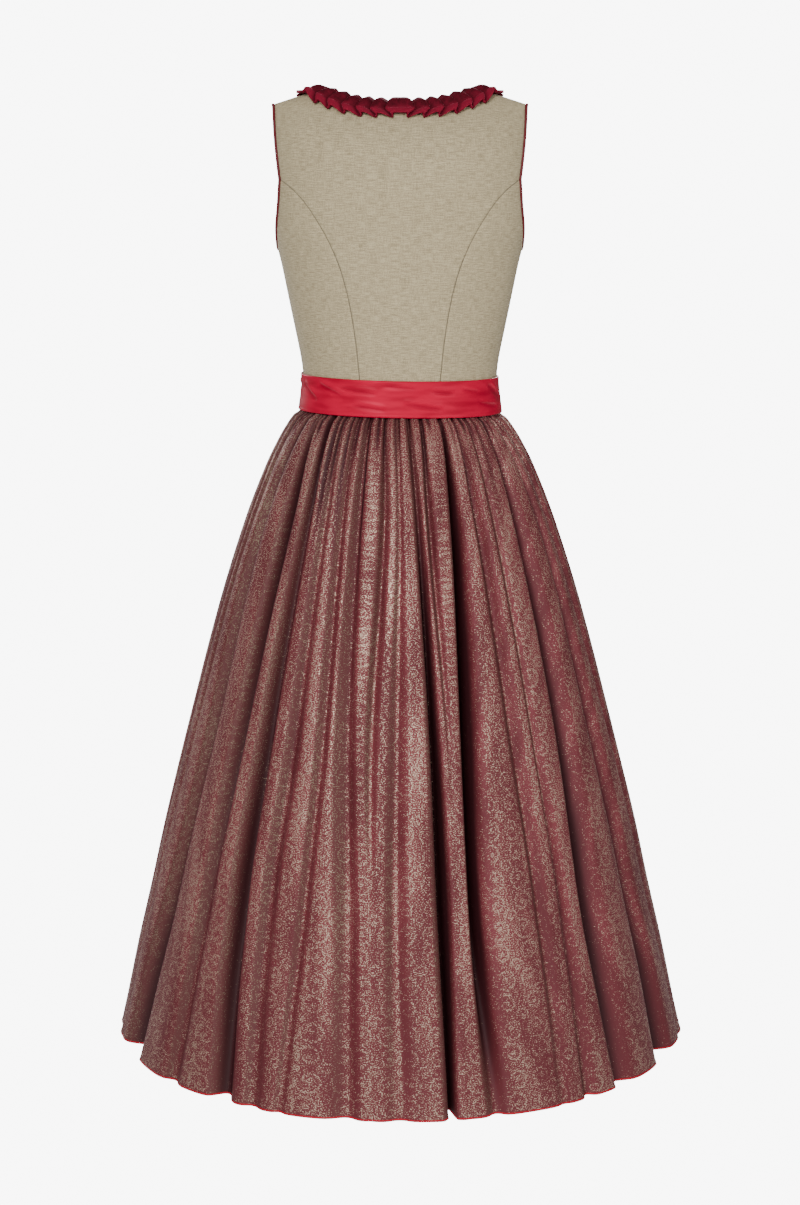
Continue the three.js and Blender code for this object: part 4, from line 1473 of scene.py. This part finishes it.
BACK_FOLDS = (
    Fold((-82, -81, -82, -84, -86), (5, 8, 7, 6, 4), (4.5, 7, 8, 9, 12)),
    Fold((-72, -73, -73, -76, -80), (6, 8, 4, 2, 1), (4.5, 7, 8, 8, 8)),
    Fold((-60.5, -63, -62, -65, -71.5), (7, 14, 20, 28, 42), (5, 9, 12, 16, 31)),
    Fold((-51, -47.8, -48.5, -49.5, -51), (7, 30, 24, 16, 10), (5, 10, 12, 14, 18)),
    Fold((-41, -38.2, -39.2, -40, -37.6), (8, 16, 23, 30, 25), (5, 8, 12, 13, 18), -0.2),
    Fold((-31.5, -29.5, -29.3, -31, -29.5), (6, 8, 12, 12, 8), (5, 7, 12, 14, 15)),
    Fold((-24, -22.5, -20.9, -21.9, -23.5), (7, 8, 9, 8, 5), (4.5, 6, 9, 9, 10)),
    Fold((-17, -16, -14.4, -11.8, -10.2), (8, 11, 12, 12, 10), (5, 7, 12, 15, 19), 0.2),
    Fold((-8, -5.9, -7.6, -6.5, -5.5), (8, 11, 8, 1, 1), (5, 6, 8, 6, 6)),
    Fold((-1.2, 0, -0.8, -1, 0), (5, 4, 9, 10, 7), (4, 5, 11, 14, 18)),
    Fold((4.9, 6.9, 9.1, 9.8, 10), (8, 14, 42, 54, 40), (4.5, 5, 6, 8, 5)),
    Fold((11.6, 11.3, 13, 13.2, 13.4), (8, 11, 3, 1, 1), (4.5, 5, 5, 5, 6)),
    Fold((23, 21.6, 18.9, 17.3, 18.8), (8, 36, 58, 48, 9), (5, 7, 10, 9, 14)),
    Fold((31.2, 30.8, 31.6, 32.9, 33), (8, 12, 11, 9, 4), (5, 7, 10, 10, 12)),
    Fold((39.8, 37.8, 38.2, 39.6, 39.5), (7, 5, 5, 12, 11), (5, 6, 6, 7, 11)),
    Fold((51, 49.9, 49, 47.3, 48.8), (8, 20, 31, 36, 18), (5, 8, 13, 15, 17), -0.35),
    Fold((61, 64.5, 65.2, 66.5, 68.3), (6, 9, 16, 24, 36), (5, 8, 12, 18, 28)),
    Fold((71.5, 75, 77, 79, 81), (7, 10, 6, 4, 3), (5, 8, 10, 12, 14)),
    Fold((82, 84, 85.5, 86.5, 87.5), (5, 5, 4, 3, 2), (4.5, 6, 6, 6, 8)),
)
FRONT_FOLDS = (
    Fold((99, 100, 98, 97, 95), (6, 9, 7, 5, 4), (5, 8, 10, 10, 14)),
    Fold((109, 110, 111, 110, 108), (7, 12, 16, 18, 20), (5, 8, 12, 15, 22)),
    Fold((119, 121, 122, 123, 122), (7, 8, 5, 2, 1), (5, 7, 8, 8, 8)),
    Fold((129, 131, 133, 133, 132), (8, 20, 26, 26, 18), (5, 9, 14, 17, 20), -0.2),
    Fold((138, 140.5, 143, 145, 146), (7, 9, 10, 12, 10), (5, 7, 10, 12, 16)),
    Fold((147, 149, 152, 154, 155.5), (8, 10, 14, 16, 12), (5, 7, 9, 11, 14), 0.2),
    Fold((156, 157.5, 160, 161.5, 163), (7, 6, 3, 1, 1), (5, 6, 6, 6, 6)),
    Fold((165, 166, 167.5, 169, 170), (8, 12, 18, 20, 14), (5, 7, 10, 12, 15)),
    Fold((174, 175, 176.5, 177.5, 178), (7, 8, 6, 3, 2), (5, 6, 8, 8, 8)),
    Fold((183.5, 184, 185, 186, 187), (8, 13, 16, 18, 13), (5, 7, 10, 13, 16), -0.2),
    Fold((193, 193.5, 194.5, 195, 196), (7, 7, 5, 3, 2), (5, 6, 7, 8, 8)),
    Fold((202, 202.5, 204, 205, 206), (8, 14, 24, 30, 22), (5, 8, 11, 12, 15)),
    Fold((211, 212.5, 213.5, 215, 216), (7, 8, 7, 4, 2), (5, 6, 8, 8, 8)),
    Fold((220, 222, 223.5, 224.5, 226), (8, 12, 16, 18, 13), (5, 8, 12, 15, 18), 0.2),
    Fold((230, 232, 233.5, 235, 236), (7, 9, 8, 6, 4), (5, 7, 9, 9, 10)),
    Fold((240, 242, 243.5, 245, 247), (8, 16, 24, 28, 30), (5, 9, 14, 18, 24)),
    Fold((250.5, 253, 255, 256.5, 259), (7, 9, 8, 6, 4), (5, 8, 10, 10, 12)),
    Fold((261, 262.5, 264.5, 266, 267), (6, 7, 6, 4, 3), (5, 6, 7, 7, 8)),
)


@dataclass(frozen=True)
class Skirt:
    """Two gathered widths of jacquard and the hem cord under each."""

    length: float = 850.0
    drop: tuple[float, ...] = (
        0, 7.5, 13, 32, 51, 71, 111, 151, 231, 312, 394, 476, 558, 641, 724, 808, 850,
    )  # fmt: skip
    wide: tuple[float, ...] = (
        131, 131.6, 140, 153.5, 164.2, 174.2, 191, 206, 232, 255, 276.5, 297.5, 317.5, 336, 356, 374, 383.5,
    )  # fmt: skip
    back: tuple[float, ...] = (
        92.8, 93.3, 102, 117, 128, 139, 158, 175, 205, 232, 257, 281, 303, 324, 347, 369, 380,
    )  # fmt: skip
    front: tuple[float, ...] = (
        89.3, 89.8, 99, 113, 124, 135, 154, 171, 201, 228, 253, 277, 299, 320, 343, 364, 376,
    )  # fmt: skip
    levels: tuple[float, ...] = (0, 0.15, 0.45, 0.7, 1)
    cloth: float = 0.9
    seam_shift: float = 0.02
    blunt: float = 2.3  # how square a shallow fold's trough is
    blunt_more: float = 1.9  # what a deep fold's adds to it
    rim: float = 0.12  # the share of a fold's depth in its soft rim
    rim_wide: float = 1.9
    trough_steps: int = 11
    crest_steps: int = 8
    gather_rows: int = 34
    gather_length: float = 110.0
    long_rows: int = 92
    hem_end: float = 847.0
    tilt: float = 2.9  # how much higher the wearer's left side is than the middle, under the band
    tilt_start: float = 5.0
    tilt_end: float = 40.0
    gather_shade: float = 0.8  # how much deeper the folds under the band count for the painted shade than the skirt below
    gather_narrow: float = 0.42  # how much narrower the folds are drawn in at the band
    gather_reach: float = 70.0
    seam_calm: float = 12.0  # gathers and ripples fade within this of a side seam
    seam_turn: float = 1.2
    tuck_pitch: float = 8.6
    tuck_deep: float = 3.2
    # the tucks count this many times over in the depth for the painted shade
    tuck_shade: float = 7.0
    tuck_margin: float = 3.0  # the tucks stay this far from the side seams
    tuck_lengths: tuple[float, ...] = (26.0, 45.0, 80.0, 150.0)
    tuck_odds: tuple[float, ...] = (0.3, 0.3, 0.25, 0.15)
    tuck_widening: float = 160.0  # the drop at which a tuck is twice as wide
    seed: int = 5
    cord_gap: float = 0.1
    cord_high: float = 2.9
    cord_thick: float = 2.8
    cord_proud: float = 0.9  # how far the hem cord stands out past the cloth
    cord_sides: int = 12
    cord_round: float = 1.3
    rib_deep: float = 0.05
    rib_pitch: float = 3.1

    def read(self, column: str, drop: Array) -> Array:
        """The outline's size at a drop."""
        return smooth_value(np.array(self.drop, float), np.array(getattr(self, column), float), drop)

    def base(self, drop: Array, turn: Array) -> tuple[Array, Array, Array]:
        """The unfolded skirt.

        Args:
            drop: millimetres below the waist seam.
            turn: degrees round the skirt.

        Returns:
            The point, the direction out of it, and millimetres to a degree.
        """
        across, along = -np.sin(np.radians(turn)), np.cos(np.radians(turn))
        wide = self.read("wide", drop)
        deep = np.where(along > 0, self.read("back", drop), self.read("front", drop))
        lift = self.tilt * (1 - np.exp(-drop / self.tilt_start)) * np.exp(-drop / self.tilt_end)
        point = np.stack([wide * across, deep * along, WAIST - drop + lift * across], -1)
        out = unit(np.stack([deep * across, wide * along, 0 * turn], -1))
        return point, out, np.hypot(wide * along, deep * across) * math.pi / 180

    def drops(self) -> Array:
        """The drop of each row, closer together under the band."""
        high = np.linspace(0.3, self.gather_length, self.gather_rows, endpoint=False)
        low = np.linspace(self.gather_length, self.hem_end, self.long_rows)
        return np.concatenate([high, low])

    def columns(self, folds: tuple[Fold, ...], start: float, end: float, drops: Array) -> Array:
        """The turn of each column in each row, following the folds.

        Args:
            folds: the width's folds.
            start: the turn of its one side seam.
            end: the turn of its other side seam.
            drops: the drop of each row.

        Returns:
            Rows by columns of turns.
        """
        share = drops / self.length
        levels = np.array(self.levels)
        marks = [np.full(len(drops), start)]
        steps = []
        for fold in folds:
            middle = smooth_value(levels, np.array(fold.turn, float), share)
            half = smooth_value(levels, np.array(fold.half, float), share)
            span = self.base(drops, middle)[2]
            for side in (-1.0, 1.0):
                marks.append(middle + side * half / span)
                steps.append(self.crest_steps if side < 0 else self.trough_steps)
        marks.append(np.full(len(drops), end))
        steps.append(self.crest_steps)
        rows = []
        for i, count in enumerate(steps):
            low, high = marks[i], np.maximum(marks[i + 1], marks[i] + 0.05)
            t = np.linspace(0, 1, count, endpoint=False)
            rows.append(low[:, None] * (1 - t) + high[:, None] * t)
        turns = np.concatenate([*rows, marks[-1][:, None]], axis=1)
        ordered = np.maximum.accumulate(turns + np.arange(turns.shape[1]) * 1e-4, axis=1)
        scale = (end - start) / (ordered[:, -1:] - start)
        return start + (ordered - start) * scale

    def sunk(self, folds: tuple[Fold, ...], drops: Array, turns: Array) -> Array:
        """How deep the folds press each point in.

        Args:
            folds: the width's folds.
            drops: the drop of each row.
            turns: rows by columns of turns.

        Returns:
            Millimetres for each point.
        """
        share = drops / self.length
        levels = np.array(self.levels)
        total = np.zeros_like(turns)
        for fold in folds:
            middle = smooth_value(levels, np.array(fold.turn, float), share)[:, None]
            half = smooth_value(levels, np.array(fold.half, float), share)[:, None]
            deep = smooth_value(levels, np.array(fold.deep, float), share)[:, None]
            span = self.base(drops[:, None], middle)[2]
            blunt = self.blunt + self.blunt_more * np.clip((deep / half - 1) / 4, 0, 1)
            half = half * (1 - self.gather_narrow * np.exp(-((drops[:, None] / self.gather_reach) ** 2)))
            side = (turns - middle) * span / half
            side = side * (1 + fold.lean * np.tanh(side * 2))
            trough = np.exp(-1.9 * np.abs(side) ** blunt)
            rim = np.exp(-((side / self.rim_wide) ** 2))
            total += deep * ((1 - self.rim) * trough + self.rim * rim)
        return total

    def tucks(self, drops: Array, flat: Array) -> Array:
        """The small gathers under the band.

        Args:
            drops: the drop of each row.
            flat: each column's place across the waist, in millimetres.

        Returns:
            Millimetres that each point is pressed in.
        """
        rng = np.random.default_rng(self.seed)
        total = np.zeros((len(drops), len(flat)))
        at = flat[0] + self.tuck_margin
        while at < flat[-1] - self.tuck_margin:
            deep = self.tuck_deep * rng.uniform(0.45, 1.5)
            long = rng.choice(self.tuck_lengths, p=self.tuck_odds) * rng.uniform(0.8, 1.25)
            wide = self.tuck_pitch * rng.uniform(0.16, 0.30)
            spread = 1 + drops[:, None] / self.tuck_widening
            side = (flat[None, :] - at) / (wide * spread)
            fade = np.exp(-((drops[:, None] / long) ** 2))
            total += deep * fade * np.exp(-side * side)
            at += self.tuck_pitch * rng.uniform(0.7, 1.35)
        return total

    def ripples(self, drops: Array, across: Array) -> Array:
        """Soft unevenness along the crests, below the gathers."""
        share = (drops / self.length)[:, None]
        slow = np.sin(across / 37.0 + 1.9 * np.sin(share * 4.1))
        slow = slow * np.sin(share * 5.3 + across / 260.0)
        quick = np.sin(across / 15.5 + 2.4 * np.sin(share * 3.3 + 1.0))
        quick = quick * np.sin(share * 7.9 + across / 130.0 + 2.0)
        return (1.5 * slow + 0.55 * quick) * np.clip(share * 5, 0, 1)

    def width(self, node: str, folds: tuple[Fold, ...], start: float, end: float) -> Sewn:
        """One width of the skirt.

        Args:
            node: the CAD node that it stands for.
            folds: its folds.
            start: the turn of its one side seam.
            end: the turn of its other side seam.

        Returns:
            The width's two sides.
        """
        drops = self.drops()
        edge = self.seam_shift / float(self.base(np.array(self.length / 2), np.array(start))[2])
        turns = self.columns(folds, start + edge, end - edge, drops)
        point, out, _ = self.base(drops[:, None], turns)
        sunk = self.sunk(folds, drops, turns)
        folded = point - out * sunk[..., None]
        lines = travelled(folded, 1)
        whole = lines[len(drops) * 2 // 3 :]
        across = (whole / whole[:, -1:]).mean(0) * whole[:, -1].mean()
        waist = travelled(folded[:1], 1)[0]
        shaped = sunk + self.tucks(drops, waist) + self.ripples(drops, across[None])
        seam = np.minimum(lines, lines[:, -1:] - lines)
        shaped = sunk + (shaped - sunk) * np.clip(seam / self.seam_calm, 0, 1)
        shaped += (1 - np.clip(seam / self.seam_turn, 0, 1)) ** 2
        outer = point - out * shaped[..., None]
        normals = grid_normals(outer)
        normals *= np.where(np.sum(normals * out, axis=-1, keepdims=True) < 0, -1, 1)
        lean = np.cross(unit(normals * (1, 1, 0)), out)[..., 2]
        inner = outer - normals * self.cloth
        inner[..., 2] = outer[..., 2]
        inner[:, [0, -1], 1] = outer[:, [0, -1], 1]
        along = travelled(folded, 0).mean(1)
        middle = shaped.shape[1] // 2
        run = lines - lines[:, middle : middle + 1]
        across = across - across[middle]
        cloth = flat_places(across, -along[:, None], run)
        # painted shade: the depth stored for the jacquard is made deeper under the band and in the tucks, so
        # that these are painted darker
        gather_shade_gain = 1 + self.gather_shade * np.exp(-((drops[:, None] / self.gather_length) ** 2))
        depth = sunk * gather_shade_gain + self.tucks(drops, waist) * self.tuck_shade
        fold = np.stack([lean, depth * MM, np.zeros_like(sunk)], -1)
        return Sewn(f"{node}_cloth", node, Slot.JACQUARD, outer, inner, cloth, fold=fold)

    def hem_cord(self, node: str, sewn: Sewn) -> Tube:
        """The covered cord under a width's hem.

        Args:
            node: the CAD node that it stands for.
            sewn: the width.

        Returns:
            The cord, flattened a little.
        """
        radius, half_high = self.cord_thick / 2, self.cord_high / 2
        edge, inside = sewn.outer[-1], sewn.inner[-1]
        inward = unit((inside - edge) * (1, 1, 0))
        centre = edge + inward * (radius - self.cord_proud) - np.array([0, 0, self.cord_gap + half_high])
        rounds = np.linspace(0, math.tau, self.cord_sides + 1)[:-1]
        across = sewn.cloth[-1, :, 0]
        rib = self.rib_deep * np.sin(across / self.rib_pitch * math.tau)
        rings = []
        for angle in rounds:
            reach = inward * (math.cos(angle) * (radius + rib))[:, None]
            rise = np.array([0, 0, math.sin(angle) * half_high])
            rings.append(centre + reach + rise)
        points = np.array(rings)
        cloth = flat_places(across, (rounds * self.cord_round)[:, None])
        return Tube(f"{node}_cord", node, Slot.PIPING, points, points, cloth)

    def build(self, finishes: Finishes) -> None:
        """Makes both widths and their hem cords.

        Args:
            finishes: every finish.
        """
        widths = (("back", BACK_FOLDS, -90.0, 90.0), ("front", FRONT_FOLDS, 90.0, 270.0))
        for name, folds, start, end in widths:
            sewn = self.width(f"skirt_{name}", folds, start, end)
            piece = sewn.build(finishes.jacquard)
            cord = self.hem_cord(f"hem_piping_{name}", sewn).build(finishes.hem)
            width = float(sewn.cloth[0, -1, 0] - sewn.cloth[0, 0, 0]) * MM
            length = float(-sewn.cloth[-1, 0, 1]) * MM


# ---------------------------------------------------------------- the studio


@dataclass(frozen=True)
class Lamp:
    """A square soft box.

    Attributes:
        name: its name.
        place: its place, in metres.
        size: its side, in metres.
        power: its power, in watts.
    """

    name: str
    place: tuple[float, float, float]
    size: float
    power: float


@dataclass(frozen=True)
class Studio:
    """A pale floor, soft light and the camera behind the dress."""

    distance: float = 3.55
    side: float = 0.0
    pitch: float = 10.6
    lens: float = 121.5
    sensor: float = 36.0
    floor_z: float = -1.62
    pale: Colour = (0.86, 0.86, 0.86)
    wall: float = 8.3
    ambient: float = 0.13
    floor_half: float = 30.0
    aim: tuple[float, float, float] = (0.0, 0.0, -0.62)
    lamps: tuple[Lamp, ...] = (
        Lamp("key", (0.75, 3.5, 1.1), 1.5, 150.0),
        Lamp("fill", (-2.3, 2.6, 0.5), 1.5, 42.0),
        Lamp("front_key", (-0.75, -3.5, 1.1), 1.5, 150.0),
        Lamp("front_fill", (2.3, -2.6, 0.5), 1.5, 42.0),
    )

    def camera(self) -> None:
        """Stands the camera behind the dress, at the height of its shoulders."""
        data = bpy.data.cameras.new("camera")
        data.sensor_fit = "HORIZONTAL"
        data.sensor_width = self.sensor
        data.lens = self.lens
        data.clip_start, data.clip_end = 0.1, 100.0
        camera = place_object("camera", data)
        camera.location = (self.side, self.distance, 0.0)
        camera.rotation_euler = (math.radians(90 - self.pitch), 0.0, math.radians(180))
        bpy.context.scene.camera = camera

    def floor(self) -> None:
        """Lays a plain pale floor that runs far back and is lit as brightly as the room's wall."""
        tree = NodeTree("floor_paint")
        diffuse = tree.node("ShaderNodeBsdfDiffuse", {}, {"Color": (*self.pale, 1.0)})
        glow = tree.node("ShaderNodeEmission", {}, {"Color": (1.0, 1.0, 1.0, 1.0), "Strength": self.wall})
        seen = tree.node("ShaderNodeLightPath", {}, {}).outputs["Is Camera Ray"]
        both = tree.node("ShaderNodeMixShader", {}, {0: seen})
        tree.tree.links.new(diffuse.outputs[0], both.inputs[1])
        tree.tree.links.new(glow.outputs[0], both.inputs[2])
        output = tree.node("ShaderNodeOutputMaterial", {}, {})
        tree.tree.links.new(both.outputs[0], output.inputs["Surface"])
        mesh = bpy.data.meshes.new("floor")
        half = self.floor_half
        square = ((-half, -half), (half, -half), (half, half), (-half, half))
        mesh.from_pydata([(x, y, self.floor_z) for x, y in square], [], [(0, 1, 2, 3)])
        mesh.materials.append(tree.material)
        place_object("floor", mesh)

    def light(self, lamp: Lamp) -> None:
        """Hangs a soft box that faces the dress."""
        data = bpy.data.lights.new(lamp.name, "AREA")
        data.shape = "SQUARE"
        data.size = lamp.size
        data.energy = lamp.power
        box = place_object(lamp.name, data)
        box.location = lamp.place
        away = np.array(lamp.place) - np.array(self.aim)
        box.rotation_euler = (
            math.acos(away[2] / np.linalg.norm(away)),
            0.0,
            math.atan2(away[1], away[0]) + math.pi / 2,
        )

    def build(self) -> None:
        """Sets up the camera, the floor, the lights and the room."""
        self.camera()
        self.floor()
        for lamp in self.lamps:
            self.light(lamp)
        self.room()

    def room(self) -> None:
        """Paints the room: a bright wall for the eye, and less light from it on the dress."""
        world = bpy.data.worlds.new("room")
        world.use_nodes = True
        nodes, links = world.node_tree.nodes, world.node_tree.links
        soft = nodes["Background"]
        soft.inputs["Strength"].default_value = self.ambient
        wall = nodes.new("ShaderNodeBackground")
        wall.inputs["Strength"].default_value = self.wall
        for shade in (soft, wall):
            shade.inputs["Color"].default_value = (1.0, 1.0, 1.0, 1.0)
        both = nodes.new("ShaderNodeMixShader")
        links.new(nodes.new("ShaderNodeLightPath").outputs["Is Camera Ray"], both.inputs[0])
        links.new(soft.outputs[0], both.inputs[1])
        links.new(wall.outputs[0], both.inputs[2])
        links.new(both.outputs[0], nodes["World Output"].inputs["Surface"])
        bpy.context.scene.world = world


# ---------------------------------------------------------------- the dress


def main() -> None:
    """Loads the frame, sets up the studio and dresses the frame."""
    logging.basicConfig(level=logging.INFO, format="%(name)s: %(message)s")
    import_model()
    Studio().build()
    finishes = Finishes()
    Bodice().build(finishes)
    NeckRibbon().build(finishes)
    Waistband().build(finishes)
    Skirt().build(finishes)


if __name__ == "__main__":
    main()
